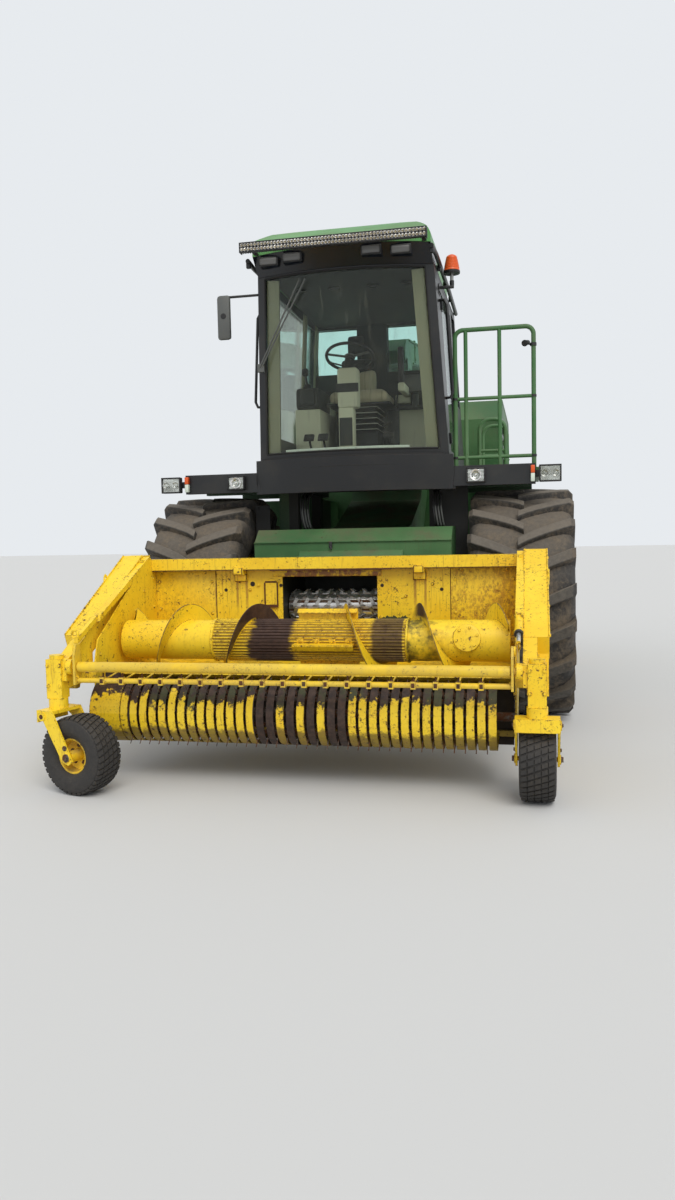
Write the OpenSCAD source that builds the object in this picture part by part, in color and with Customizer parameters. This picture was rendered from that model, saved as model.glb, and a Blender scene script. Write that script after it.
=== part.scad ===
// Self-propelled forage harvester with a pickup header, standing as it parks.
// Millimetres, Z up, the front faces -Y, and +X is the ladder side.
// Sizes along Y are taken from the front axle; every node is moved by origin_y at the end.

/* [Wheels] */
// Distance from the front axle to the rear axle
wheelbase = 2850; // [2500:10:3200]
// Front tyre, diameter over the lugs
front_tyre_d = 1780; // [1600:10:1900]
// Front tyre, width
front_tyre_w = 775; // [600:5:800]
// Front rim, diameter
front_rim_d = 813; // [700:1:900]
// Front track, from tyre middle to tyre middle
front_track = 2525; // [2450:5:2700]
// Rear tyre, diameter over the lugs
rear_tyre_d = 1330; // [1100:10:1400]
// Rear tyre, width
rear_tyre_w = 430; // [350:5:460]
// Rear rim, diameter
rear_rim_d = 610; // [508:1:660]
// Rear track, from tyre middle to tyre middle
rear_track = 2300; // [2200:5:2500]
// Height of the tyre lugs
lug_h = 45; // [20:1:60]
// Lugs on one half of a tyre
lug_count = 20; // [12:1:26]
// Wall of a wheel rim
rim_wall = 14; // [8:1:20]
// Circle of the front wheel studs, diameter
front_pcd = 335; // [300:1:360]
// Circle of the rear wheel studs, diameter
rear_pcd = 275; // [250:1:300]
// Holes for the wheel studs
stud_hole_d = 24; // [20:1:28]

/* [Chassis] */
// Height of the frame rails' underside above the ground
rail_z = 980; // [900:5:1050]
// Depth of a frame rail
rail_h = 170; // [120:5:200]
// Width of a frame rail
rail_w = 100; // [60:5:120]
// Inner face of the front rails from the middle
front_rail_x = 500; // [480:5:540]
// Inner face of the rear rails from the middle
rear_rail_x = 300; // [250:5:320]
// Rear end of the frame, behind the rear axle
frame_tail = 1450; // [1200:10:1600]
// Underside of the cab bearers
bearer_z = 1800; // [1750:5:1850]
// Kingpin distance from the middle
kingpin_x = 840; // [780:5:880]
// Bore of the hitch at the rear
hitch_bore_d = 32; // [25:1:40]

/* [Cab] */
// Half-width of the cab at its floor
cab_half_w = 735; // [680:5:760]
// Half-width of the cab under its roof
cab_top_half_w = 660; // [600:5:700]
// Lean of the windscreen, its top ahead of its foot
screen_lean = 6.8; // [0:0.1:10]
// Front corners of the cab, ahead of the front axle
cab_front = 480; // [420:5:520]
// Rear wall of the cab, behind the front axle
cab_back = 1050; // [950:5:1080]
// Bulge of the windscreen ahead of its corners
screen_bulge = 165; // [80:5:200]
// Underside of the cab
cab_floor_z = 1880; // [1860:5:1900]
// Thickness of the cab floor
cab_floor_t = 190; // [100:5:200]
// Top of the cab walls, under the roof
cab_top_z = 3400; // [3300:5:3500]
// Wall of the cab
cab_wall = 45; // [30:1:60]
// Thickness of the window glass
glass_t = 6; // [4:1:10]
// Height of the roof from the cab walls to its crown
roof_h = 410; // [350:5:450]
// Reach of the visor ahead of the cab walls
visor_reach = 150; // [60:5:200]
// Height of the visor
visor_h = 100; // [60:5:140]
// Width of the door
door_w = 890; // [800:5:900]
// Gap around the door
door_gap = 6; // [5:1:10]

/* [Deck] */
// Outer edge of the deck from the middle
deck_edge_x = 1400; // [1300:5:1450]
// Height of the walking surface
deck_z = 1925; // [1900:5:1960]
// Pipe diameter of the railing
rail_pipe_d = 34; // [25:1:45]
// Height of the railing above the deck
railing_h = 1040; // [900:5:1100]

/* [Rear body] */
// Half-width of the rear body
hood_half_w = 1050; // [900:5:1150]
// Front face of the rear body, behind the front axle
hood_front = 1750; // [1700:5:1850]
// Rear face of the rear body, behind the rear axle
hood_tail = 1550; // [1300:10:1600]
// Underside of the rear body
hood_z = 1400; // [1380:5:1500]
// Top of the rear body
hood_top_z = 2750; // [2500:5:2850]
// Sheet of the rear body
hood_t = 12; // [8:1:20]

/* [Spout] */
// Turning axis of the spout, behind the front axle
spout_y = 1400; // [1395:5:1430]
// Height of the turntable's underside
spout_z = 2760; // [2700:5:2800]
// Length of the spout boom behind its turning axis
spout_reach = 3490; // [3000:10:3600]
// Half-width of the spout
spout_half_w = 190; // [150:5:220]
// Sheet of the spout
spout_t = 10; // [6:1:14]

/* [Chopper and feeder] */
// Chopper shaft ahead of the front axle
drum_y = 420; // [400:5:450]
// Chopper shaft height
drum_z = 1060; // [1040:5:1100]
// Radius of the chopper housing
drum_r = 350; // [330:5:355]
// Half-width of the feed opening
feed_half_w = 328; // [300:1:345]
// Length of the feeder ahead of the chopper shaft
feed_reach = 975; // [930:5:985]
// Plate of the feeder
feed_plate = 14; // [8:1:16]

/* [Pickup header] */
// Front pipe ahead of the front axle
pipe_y = 2600; // [2560:5:2700]
// Front pipe height
pipe_z = 728; // [700:1:760]
// Front pipe diameter
pipe_d = 60; // [40:1:70]
// Half-width inside the end plates
header_half_w = 1250; // [1245:5:1260]
// Top of the header's beam
header_top_z = 1310; // [1290:5:1350]
// Auger shaft ahead of the front axle
auger_y = 1940; // [1900:5:1960]
// Auger shaft height
auger_z = 810; // [800:1:830]
// Auger tube radius
auger_tube_r = 125; // [100:1:140]
// Auger radius over the flighting
auger_r = 228; // [200:1:232]
// Advance of the flighting in one turn
flight_pitch = 455; // [350:5:500]
// Gap between the flighting and the trough
trough_gap = 24; // [15:1:30]
// Half-length of the ribbed middle of the auger
ribbed_half_l = 605; // [500:5:700]
// Reel shaft ahead of the front axle
reel_y = 2270; // [2250:5:2290]
// Reel shaft height
reel_z = 420; // [410:5:440]
// Outer radius of the stripper bands
band_r = 190; // [170:1:195]
// Reach of the tines from the reel shaft
tine_r = 245; // [220:1:250]
// Distance from one stripper band to the next
band_pitch = 60; // [50:1:70]
// Width of a stripper band
band_w = 44; // [30:1:44]
// Number of stripper bands
band_count = 37; // [20:1:37]

/* [Casters] */
// Caster post from the middle
caster_x = 1368; // [1365:1:1380]
// Caster tyre, diameter
caster_tyre_d = 457; // [400:1:470]
// Caster tyre, width
caster_tyre_w = 195; // [150:1:200]
// Wheel axle behind the caster post
caster_trail = 160; // [140:5:180]
// Turn of the caster on the side away from the ladder
caster_turn = -106; // [-180:1:0]

/* [Hidden] */
$fn = 64;
eps = 0.01;
seat_gap = 0.3;
run_gap = 6;

front_r = front_tyre_d / 2;
rear_r = rear_tyre_d / 2;
rail_top = rail_z + rail_h;
frame_end = wheelbase + frame_tail;
hood_end = wheelbase + hood_tail;
cab_in_z = cab_floor_z + cab_floor_t;
cab_taper = atan((cab_half_w - cab_top_half_w) / (cab_top_z - cab_in_z));
lean_y = (cab_top_z - cab_in_z) * tan(screen_lean);
roof_front = -cab_front - lean_y - screen_bulge - visor_reach;
roof_half_w = cab_top_half_w - 5;
screen_r = (cab_half_w * cab_half_w + screen_bulge * screen_bulge) / (2 * screen_bulge);
screen_cy = screen_r - cab_front - screen_bulge;
door_y = 150 - cab_front;
door_sill_z = cab_in_z - 60;
door_head_z = cab_top_z - 60;
deck_t = 45;
deck_front = cab_front - 60;
feed_face = -drum_y - feed_reach;
wall_y = feed_face - seat_gap;
beam_d = 78;
end_t = 10;
arm_x = header_half_w + 45;
arm_w = 140;
caster_r = caster_tyre_d / 2;
// Foremost point, on the turned caster tyre, and rearmost point, on the spout cap
front_end = -pipe_y + caster_trail * cos(caster_turn) - (caster_r - 25) * abs(cos(caster_turn))
  - caster_tyre_w / 2 * 0.95 * abs(sin(caster_turn));
rear_end = spout_y + spout_reach + 60;
origin_y = -(front_end + rear_end) / 2;

// Extrudes a side-view outline, given as points of y and z, from x0 to x1
module side(x0, x1, pts) {
  translate([x0, 0, 0]) rotate([90, 0, 90]) linear_extrude(x1 - x0) polygon(pts);
}
// A box given by two corners
module block(a, b) {
  translate(a) cube(b - a);
}
// A round bar along X
module bar_x(x0, x1, y, z, d) {
  translate([x0, y, z]) rotate([0, 90, 0]) cylinder(h = x1 - x0, d = d);
}
// A round bar along Y
module bar_y(x, y0, y1, z, d) {
  translate([x, y1, z]) rotate([90, 0, 0]) cylinder(h = y1 - y0, d = d);
}
// A round bar from p to q
module bar(p, q, d) {
  v = q - p;
  l = norm(v);
  translate(p) rotate([0, acos(v[2] / l), atan2(v[1], v[0])]) cylinder(h = l, d = d);
}
module both() {
  children();
  mirror([1, 0, 0]) children();
}

// Tyre round the X axis at the origin, with slanted lugs
module tyre(d, w, rim, lugs, lead) {
  r = d / 2;
  body_r = r - lug_h;
  hw = w / 2;
  rotate([0, 90, 0]) rotate_extrude() polygon([
    [rim / 2, -hw * 0.62], [rim / 2 + 55, -hw * 0.8], [(rim / 2 + body_r) / 2, -hw],
    [body_r - 70, -hw * 0.97], [body_r - 28, -hw * 0.84], [body_r, -hw * 0.4],
    [body_r, hw * 0.4], [body_r - 28, hw * 0.84], [body_r - 70, hw * 0.97],
    [(rim / 2 + body_r) / 2, hw], [rim / 2 + 55, hw * 0.8], [rim / 2, hw * 0.62]]);
  step = 360 / lugs;
  reach = 3.14 * r / lugs * 1.5;
  wide = 3.14 * r / lugs * 0.62;
  for (half = [0, 1]) mirror([half, 0, 0]) for (i = [0 : lugs - 1])
    rotate([(i + half / 2) * step, 0, 0]) translate([0, 0, body_r - 60])
      intersection() {
        linear_extrude(r - body_r + 62) polygon([
          [-20, 0], [hw * 0.46, -lead * reach * 0.5], [hw - 4, -lead * reach],
          [hw - 4, -lead * reach + wide * 1.1], [hw * 0.46, -lead * reach * 0.5 + wide],
          [-20, wide * 0.8]]);
        rotate([0, 90, 0]) translate([body_r - 60, 0, -30]) rotate([0, 0, 0])
          cylinder(h = hw + 30, r = r);
      }
}
// Rim round the X axis at the origin, its disc at x = disc
module rim(d, w, disc, hub_d, studs, pcd) {
  ro = d / 2 - 0.3;
  hw = w * 0.31;
  difference() {
    union() {
      rotate([0, 90, 0]) rotate_extrude() polygon([
        [ro - rim_wall, -hw], [ro, -hw], [ro, hw], [ro - rim_wall, hw],
        [ro - rim_wall - 30, hw * 0.6], [ro - rim_wall - 30, -hw * 0.6]]);
      bar_x(disc, disc + 16, 0, 0, d - 2 * rim_wall - 20);
      bar_x(disc, disc + 70, 0, 0, hub_d);
    }
    for (i = [0 : studs - 1]) rotate([360 / studs * i, 0, 0])
      bar_x(disc - 1, disc + 17, 0, pcd / 2, stud_hole_d);
  }
}

module frame() {
  color("darkgreen") {
    both() {
      block([front_rail_x, -300, rail_z], [front_rail_x + rail_w, 800, rail_top]);
      block([rear_rail_x, 700, rail_z], [rear_rail_x + rail_w, frame_end, rail_top]);
      // Posts and bearers under the cab
      block([540, -110, rail_top - eps], [front_rail_x + rail_w, -10, bearer_z + eps]);
      block([540, -110, 1300], [700, -10, bearer_z + eps]);
      block([540, 690, rail_top - eps], [640, 790, bearer_z + eps]);
      block([540, -450, bearer_z], [700, cab_back, cab_floor_z]);
      // Outriggers under the deck
      block([700 - eps, -90, bearer_z], [deck_edge_x - 60, -30, deck_z - deck_t]);
      block([700 - eps, 880, bearer_z], [deck_edge_x - 60, 940, deck_z - deck_t]);
      // Uprights to the rear body
      block([rear_rail_x, hood_front + 100, rail_top - eps],
        [rear_rail_x + rail_w, hood_front + 200, hood_z - 59]);
      block([rear_rail_x, frame_end - 200, rail_top - eps],
        [rear_rail_x + rail_w, frame_end - 100, hood_z - 59]);
    }
    block([-front_rail_x - rail_w, 700, rail_z], [front_rail_x + rail_w, 800, rail_top]);
    block([-700, -110, bearer_z], [700, -10, cab_floor_z]);
    // Cross bars under the rear body and brackets of the fuel tank
    for (y = [hood_front + 100, frame_end - 200])
      block([-hood_half_w, y, hood_z - 60], [hood_half_w, y + 100, hood_z - seat_gap]);
    for (y = [1080, 1520]) block([-tank_x + seat_gap, y, rail_z], [-rear_rail_x - rail_w + eps, y + 80, rail_top]);
    block([-620, frame_end - 100, rail_z], [620, frame_end, rail_top]);
    // Hitch plate with its pin bore
    difference() {
      block([-90, frame_end - eps, rail_z + 20], [90, frame_end + 110, rail_z + 50]);
      translate([0, frame_end + 60, rail_z]) cylinder(h = 100, d = hitch_bore_d);
    }
  }
}

module front_axle() {
  color("dimgray") {
    block([-front_rail_x - rail_w, 20, 760], [front_rail_x + rail_w, 240, rail_z]);
    both() {
      // Final drive housing and hub
      side(front_rail_x + rail_w, front_rail_x + rail_w + 130, [
        [-170, 780], [-120, 720], [200, 720], [260, 780], [260, 960], [200, 1050],
        [-120, 1050], [-170, 1000]]);
      bar_x(front_rail_x + rail_w + 129, front_track / 2 - 90, 0, front_r, 300);
      bar_x(front_track / 2 - 91, front_track / 2 - 60 - seat_gap, 0, front_r, front_pcd + 70);
    }
  }
}

module rear_axle() {
  z = rear_r;
  color("dimgray") {
    block([-kingpin_x + 95, wheelbase - 90, z - 80], [kingpin_x - 95, wheelbase + 90, z + 80]);
    // Centre pivot up to the rails
    block([-110, wheelbase - 130, z + 80 - eps], [110, wheelbase + 130, rail_z + 60]);
    block([-rear_rail_x + seat_gap, wheelbase - 130, rail_z + 20],
      [rear_rail_x - seat_gap, wheelbase + 130, rail_z + 120]);
    both() difference() {
      // Yoke round the kingpin
      union() {
        block([kingpin_x - 96, wheelbase - 80, z - 130],
          [kingpin_x + 45, wheelbase + 80, z - 92]);
        block([kingpin_x - 96, wheelbase - 80, z + 92],
          [kingpin_x + 45, wheelbase + 80, z + 130]);
        block([kingpin_x - 130, wheelbase - 80, z - 130],
          [kingpin_x - 95, wheelbase + 80, z + 130]);
      }
      translate([kingpin_x, wheelbase, z - 200]) cylinder(h = 400, d = 50 + 2 * seat_gap);
    }
  }
}

// Steering knuckle on the +X side
module knuckle_form() {
  z = rear_r;
  color("dimgray") {
    translate([kingpin_x, wheelbase, z - 136]) cylinder(h = 272, d = 50);
    translate([kingpin_x, wheelbase, z - 86]) cylinder(h = 172, d = 110);
    bar_x(kingpin_x + 40, rear_track / 2 - 5, wheelbase, z, 120);
    bar_x(rear_track / 2 - 6, rear_track / 2 + 20 - seat_gap, wheelbase, z, rear_pcd + 60);
  }
}

module chopper_housing() {
  z1 = 1260;
  duct_half = 330;
  color("forestgreen") {
    bar_x(-400, 400, -drum_y, drum_z, 2 * drum_r);
    bar_x(-440, 440, -drum_y, drum_z, trunnion_d);
    // Wide cover over the chopper, with its sloped front
    side(-760, 760, [[-640, z1], [-640, 1400], [-520, 1500], [-130, 1500], [-130, z1]]);
    both() {
      block([front_rail_x, -290, rail_top], [front_rail_x + rail_w, -180, z1 + eps]);
      block([390, -270, rail_top - 60], [front_rail_x - seat_gap, -190, z1 + eps]);
    }
    // Duct under the cab floor and up behind the cab
    difference() {
      side(-duct_half, duct_half, [[-150, 1130], [-150, 1480], [350, 1520], [1080, 1760],
        [spout_y - 250, 1850], [spout_y - 250, spout_z], [spout_y + 250, spout_z],
        [spout_y + 250, 1900], [1200, 1400], [500, 1160]]);
      translate([0, spout_y, spout_z - 500]) cylinder(h = 600, r = 180);
    }
  }
}

// Cab body: curved leaning front, sides leaning in; grow moves its skin outwards
module cab_block(grow, z0, z1) {
  k = tan(cab_taper);
  x0 = cab_half_w + grow - (z0 - cab_in_z) * k;
  x1 = cab_half_w + grow - (z1 - cab_in_z) * k;
  intersection() {
    translate([0, cab_back + grow, 0]) rotate([90, 0, 0]) linear_extrude(cab_back + 1200)
      polygon([[-x0, z0], [x0, z0], [x1, z1], [-x1, z1]]);
    translate([0, screen_cy, cab_in_z]) rotate([screen_lean, 0, 0]) translate([0, 0, -800])
      cylinder(h = cab_top_z - cab_in_z + 1600, r = screen_r + grow, $fn = 256);
  }
}
// Outside of the windscreen at x and z
function screen_y(x, z) =
  screen_cy - sqrt(screen_r * screen_r - x * x) / cos(screen_lean) - (z - cab_in_z) * tan(screen_lean);
// Puts what is drawn on an upright wall at x = cab_half_w on the leaning side of the cab
module on_side() {
  translate([cab_half_w, 0, cab_in_z]) rotate([0, -cab_taper, 0])
    translate([-cab_half_w, 0, -cab_in_z]) children();
}
side_x0 = cab_half_w - 90;
side_x1 = cab_half_w + 50;
window_y0 = door_y + door_w + 80;
window_y1 = cab_back - 70;
quarter_z = 2550;
far_z = 2250;
rear_z = 2930;
rear_windows = [[-620, -230], [50, 420]];
screen_z0 = cab_in_z + 10;
screen_z1 = cab_top_z - 30;
module screen_hole(g) {
  k = tan(cab_taper);
  x0 = cab_half_w - cab_wall - 15 - g;
  dz = screen_z1 - screen_z0;
  translate([0, -cab_front + 60, 0]) rotate([90, 0, 0]) linear_extrude(700)
    polygon([[-x0, screen_z0 + g], [x0, screen_z0 + g], [x0 - dz * k, screen_z1 - g],
      [-x0 + dz * k, screen_z1 - g]]);
}

module cab_shell() {
  w = cab_wall;
  color("dimgray") difference() {
    cab_block(0, cab_floor_z, cab_top_z);
    cab_block(-w, cab_in_z, cab_top_z + 10);
    screen_hole(0);
    // Door opening and the window behind it
    on_side() block([side_x0, door_y - door_gap, door_sill_z - door_gap],
      [side_x1, door_y + door_w + door_gap, door_head_z + door_gap]);
    on_side() block([side_x0, window_y0, quarter_z], [side_x1, window_y1, door_head_z]);
    mirror([1, 0, 0]) on_side() block([side_x0, door_y, far_z], [side_x1, window_y1, door_head_z]);
    for (c = rear_windows) block([c[0], cab_back - 2 * w, rear_z], [c[1], cab_back + 50, door_head_z]);
  }
}

// Plan of the roof, with its curved front ahead of the windscreen
module roof_block(z0, z1, r0, r1) {
  intersection() {
    // Narrower towards the back
    translate([0, 0, z0]) linear_extrude(z1 - z0) polygon([
      [-roof_half_w, roof_front - 100], [roof_half_w, roof_front - 100],
      [roof_half_w, roof_front + 500], [roof_half_w - 60, cab_back + 30],
      [-roof_half_w + 60, cab_back + 30], [-roof_half_w, roof_front + 500]]);
    translate([0, roof_front + screen_r, z0])
      cylinder(h = z1 - z0, r1 = screen_r + r0, r2 = screen_r + r1, $fn = 256);
  }
}
function crown(a, h) = [for (i = [0 : 24]) let (c = cos(7.5 * i), s = sin(7.5 * i))
  [a * sign(c) * pow(abs(c), 0.8), h * pow(abs(s), 0.8)]];
module cab_roof() {
  z = cab_top_z + seat_gap;
  top = cab_top_z + roof_h;
  f = roof_front;
  color("limegreen") difference() {
    intersection() {
      roof_block(z, top, 0, 0);
      side(-1000, 1000, [[f - 100, z - 1], [f - 100, z + visor_h - 30], [f + 90, z + visor_h + 95],
        [f + 280, top - 115], [f + 480, top - 45], [f + 720, top - 8], [f + 1000, top],
        [cab_back - 500, top - 50], [cab_back - 150, top - 130], [cab_back + 60, top - 220],
        [cab_back + 60, z - 1]]);
      // Crown falling off to both sides
      translate([0, 2500, z - 1]) rotate([90, 0, 0]) linear_extrude(4000)
        polygon(crown(roof_half_w + 30, roof_h + 1));
    }
    block([-1000, f - 101, z - 10], [1000, -cab_front + 30, cab_top_z + visor_h + seat_gap]);
  }
}
visor_lamp_x = [-525, -335, 245, 450];
module visor() {
  z0 = cab_top_z - 20;
  z1 = cab_top_z + visor_h;
  color("black") difference() {
    intersection() {
      roof_block(z0, z1, -130, -3);
      block([-1000, -2000, 0], [1000, -cab_front + 29, 5000]);
    }
    cab_block(2, z0 - 10, cab_top_z + seat_gap);
    for (x = visor_lamp_x) visor_lamp(x, 0, -60);
  }
  color("white") for (x = visor_lamp_x) visor_lamp(x, seat_gap, 0);
}
// A work lamp in its recess in the visor
module visor_lamp(x, g, out) {
  y = roof_front + screen_r - sqrt(pow(screen_r - 60, 2) - x * x);
  block([x - 72 + g, y - 40 + out, cab_top_z + 20 + g], [x + 72 - g, y + 40 - g, cab_top_z + 82 - g]);
}

module cab_glass() {
  g = seat_gap;
  color("lightblue") {
    // Curved windscreen
    intersection() {
      difference() {
        cab_block(-10, cab_in_z + 1, cab_top_z - 1);
        cab_block(-10 - glass_t, cab_in_z, cab_top_z);
      }
      screen_hole(g);
    }
    on_side() block([cab_half_w - 30, window_y0 + g, quarter_z + g],
      [cab_half_w - 30 + glass_t, window_y1 - g, door_head_z - g]);
    mirror([1, 0, 0]) on_side() block([cab_half_w - 30, door_y + g, far_z + g],
      [cab_half_w - 30 + glass_t, window_y1 - g, door_head_z - g]);
    for (c = rear_windows) block([c[0] + g, cab_back - 30, rear_z + g],
      [c[1] - g, cab_back - 30 + glass_t, door_head_z - g]);
  }
}

wheel_x = -145;
module cab_console() {
  in_x = -cab_half_w + cab_wall;
  k = tan(cab_taper);
  color("tan") {
    block([wheel_x - 85, 100, cab_in_z], [wheel_x + 40, 220, 2501]);
    block([wheel_x - 90, 90, 2500], [wheel_x + 80, 240, 2830]);
    translate([wheel_x, 165, 2820]) rotate([-24, 0, 0]) {
      cylinder(h = 130, d = 50);
      translate([0, 0, 125]) {
        rotate_extrude() translate([198, 0]) circle(d = 26, $fn = 24);
        cylinder(h = 22, d = 95);
        for (a = [-18, 90, 198]) rotate([0, 0, a]) block([30, -14, 2], [198, 14, 10]);
      }
    }
    // Pedals on their levers
    for (x = [-425, -308, 227]) {
      translate([x, -150, 2240]) rotate([50, 0, 0]) block([-43, -35, -8], [43, 35, 8]);
      bar([x, -140, 2240], [x, 0, cab_in_z + 6], 18);
    }
    block([in_x + 620 * k + seat_gap, 300, cab_in_z], [-430, 900, 2620]);
    block([in_x + 690 * k + seat_gap, 260, 2620 - eps], [-430, 760, 2760]);
  }
}

module seat() {
  color("gray") {
    block([wheel_x - 140, 560, cab_in_z], [wheel_x + 170, 860, 2350]);
    // Bellows of the suspension
    for (i = [0 : 4]) block([wheel_x - 130 - 12 * (i % 2), 520, 2330 + i * 50],
      [wheel_x + 160 + 12 * (i % 2), 880, 2381 + i * 50]);
    block([wheel_x - 268, 450, 2580], [wheel_x + 292, 950, 2697]);
    side(wheel_x - 240, wheel_x + 124, [[820, 2690], [880, cab_top_z - 380], [900, cab_top_z - 350],
      [950, cab_top_z - 350], [940, 2690]]);
    block([wheel_x - 169, 870, cab_top_z - 351], [wheel_x + 7, 950, cab_top_z - 134]);
    // Armrest with its upright control on the ladder side
    block([330 - 105, 420, 2660], [330 - 45, 900, 2740]);
    block([wheel_x + 291, 800, 2600], [286, 900, 2690]);
    block([225, 800, 2600], [285, 900, 2661]);
    block([225, 420, 2739], [275, 500, 3040]);
  }
}

module front_beam() {
  z0 = 1780;
  z1 = 2040;
  y0 = -deck_front - 60;
  color("black") {
    difference() {
      intersection() {
        cab_block(30, z0, z1);
        block([-1000, -1000, 0], [1000, -455, 3000]);
      }
      cab_block(seat_gap, z0 - 10, z1 + 10);
    }
    both() {
      block([cab_half_w + 12, y0, z0 + 20], [deck_edge_x - 30, -deck_front, deck_z + 25]);
      block([700, y0 - 10, z0], [cab_half_w + 29, -deck_front, cab_floor_z - 5]);
    }
  }
}

module lamps() {
  y = -deck_front - 60;
  color("white") both() {
    block([865, y - 50, 1820], [1005, y, 1930]);
    block([deck_edge_x - 65, y - 40, 1815], [deck_edge_x - 35, y, 1935]);
    block([deck_edge_x - 5, y - 60, 1810], [deck_edge_x + 155, y, 1935]);
    block([deck_edge_x - 30, y - eps, 1850], [deck_edge_x + 100, y + 30, 1900]);
  }
}

module deck() {
  z0 = deck_z - deck_t;
  color("darkgreen") {
    both() block([cab_half_w + 20, -deck_front + 1, z0], [deck_edge_x, 950, deck_z]);
    both() block([cab_half_w + 20, 949, z0], [1080, hood_front - 20, deck_z]);
    // Ladder behind the front tyre, leaning outwards
    for (y = [ladder_y0, ladder_y1 - 40]) side_ladder(y);
    for (i = [0 : 4]) {
      z = 470 + i * 290;
      x = 1420 - (z - 400) * 0.24;
      block([x - 60, ladder_y0, z], [x + 60, ladder_y1, z + 28]);
    }
  }
}
module side_ladder(y) {
  translate([0, y, 0]) rotate([90, 0, 0]) mirror([0, 0, 1]) linear_extrude(40)
    polygon([[1380, 400], [1460, 400], [1115, deck_z], [1035, deck_z]]);
}

// A quarter bend in the XZ plane round (x, z), from angle a on
module bend(x, y, z, r, a, d) {
  translate([x, y, z]) rotate([90, 0, 0]) rotate([0, 0, a]) rotate_extrude(angle = 90)
    translate([r, 0]) circle(d = d, $fn = 32);
}
module post(x, y, z0, z1, d) {
  translate([x, y, z0]) cylinder(h = z1 - z0, d = d);
}
module railing() {
  y = -deck_front + 40;
  d = rail_pipe_d;
  thin = d - 4;
  x0 = cab_half_w + 30;
  x1 = deck_edge_x - 40;
  z0 = deck_z;
  z1 = deck_z + railing_h;
  r = 60;
  color("green") {
    post(x0 + 15, y, z0, z1 - r, d);
    post(x1, y, z0, z1 - r, d);
    bend(x0 + 15 + r, y, z1 - r, r, 90, d);
    bend(x1 - r, y, z1 - r, r, 0, d);
    bar_x(x0 + 15 + r, x1 - r, y, z1, d);
    for (x = [860, 1110]) post(x, y, z0, z1, thin);
    for (z = [z0 + 90, z0 + 530]) bar_x(x0 + 15, x1, y, z, thin - 3);
    // Handrails of the ladder
    for (y = [ladder_y0 - d / 2 - seat_gap, ladder_y1 + d / 2 + seat_gap]) {
      post(880, y, z0, z0 + 430, d);
      bend(980, y, z0 + 430, 100, 90, d);
      bar_x(980, 1010, y, z0 + 530, d);
      bend(1010, y, z0 + 430, 100, 0, d);
      post(1110, y, z0 - 220, z0 + 430, d);
      bar_x(880, 1110, y, z0 + 250, thin - 3);
    }
  }
}
ladder_y0 = 1010;
ladder_y1 = 1520;

module light_bar() {
  f = roof_front - 20;
  z = cab_top_z + visor_h - 25;
  color("silver") {
    block([-690, f - 60, z], [650, f, z + 70]);
    // Brackets on the top of the visor's ends
    back = roof_front + screen_r - sqrt(pow(screen_r, 2) - 600 * 600) - seat_gap;
    both() block([600, f - 1, z + 25 + seat_gap], [630, back, z + 25 + seat_gap + 12]);
  }
}

module beacon() {
  x = cab_top_half_w + 105;
  y = -400;
  z = cab_top_z - 130;
  side_at = cab_half_w - (z - cab_in_z) * tan(cab_taper) + seat_gap;
  color("orange") {
    block([side_at, y - 15, z], [x + 15, y + 15, z + 25]);
    translate([x, y, z + 24]) cylinder(h = 90, d = 26);
    translate([x, y, z + 110]) cylinder(h = 22, d = 120);
    translate([x, y, z + 132 - eps]) cylinder(h = 120, d1 = 116, d2 = 84);
  }
}

module mirrors() {
  z = cab_top_z - 70;
  y = -430;
  side_at = -cab_half_w + (z - 20 - cab_in_z) * tan(cab_taper) - seat_gap;
  color("black") {
    bar_x(-1010, side_at, y, z, 20);
    block([side_at - 12, y - 25, z - 20], [side_at, y + 25, z + 20]);
    block([-1070, y - 35, z - 330], [-925, y + 12, z + 12]);
  }
}

module wipers() {
  color("black") {
    x = -cab_half_w + 66;
    z = cab_in_z + 660;
    top = cab_top_z - 80;
    y = screen_y(x + 26, z + 30);
    block([x - 26, y - 32, z - 30], [x + 26, y - seat_gap, z + 30]);
    for (dx = [0, 45]) bar([x - 10 + dx / 3, y - 28, z],
      [x + 360 + dx, screen_y(x + 360 + dx, top) - 24, top], 12);
  }
}

module rear_body() {
  w = hood_half_w;
  y0 = hood_front;
  y1 = hood_end;
  color("green") difference() {
    side(-w, w, [[y0, hood_z], [y0, hood_top_z - 200], [y0 + 200, hood_top_z],
      [y1 - 300, hood_top_z], [y1, hood_top_z - 350], [y1, hood_z]]);
    side(-w + hood_t, w - hood_t, [[y0 + hood_t, hood_z - 1], [y0 + hood_t, hood_top_z - 205],
      [y0 + 205, hood_top_z - hood_t], [y1 - 305, hood_top_z - hood_t],
      [y1 - hood_t, hood_top_z - 355], [y1 - hood_t, hood_z - 1]]);
    // Opening of the radiator door
    block([w - 50, y0 + 300, hood_z + 150], [w + 50, y0 + 1350, hood_top_z - 150]);
  }
  // Saddle under the parked spout
  saddle_z = boom_z + 240 + (y1 - 700 - spout_y - 1500) * 50 / (spout_reach - 2200) - run_gap;
  color("green") block([-60, y1 - 700, hood_top_z - eps], [60, y1 - 620, saddle_z]);
}

module engine() {
  color("gray") {
    block([-520, wheelbase - 250, hood_z + 60], [520, wheelbase + 950, 2320]);
    both() block([rear_rail_x, wheelbase + 100, rail_top], [rear_rail_x + rail_w, wheelbase + 800, hood_z + 61]);
  }
}

module exhaust() {
  color("silver") {
    translate([-700, wheelbase + 500, hood_top_z]) cylinder(h = 230, d = 120);
    translate([-700, wheelbase + 500, hood_top_z + 229]) cylinder(h = 30, d = 90);
  }
}

tank_x = front_rail_x + rail_w;
module fuel_tank() {
  color("darkgreen") block([-1250, 1000, 800], [-tank_x, hood_front - 20, 1780]);
}

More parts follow.
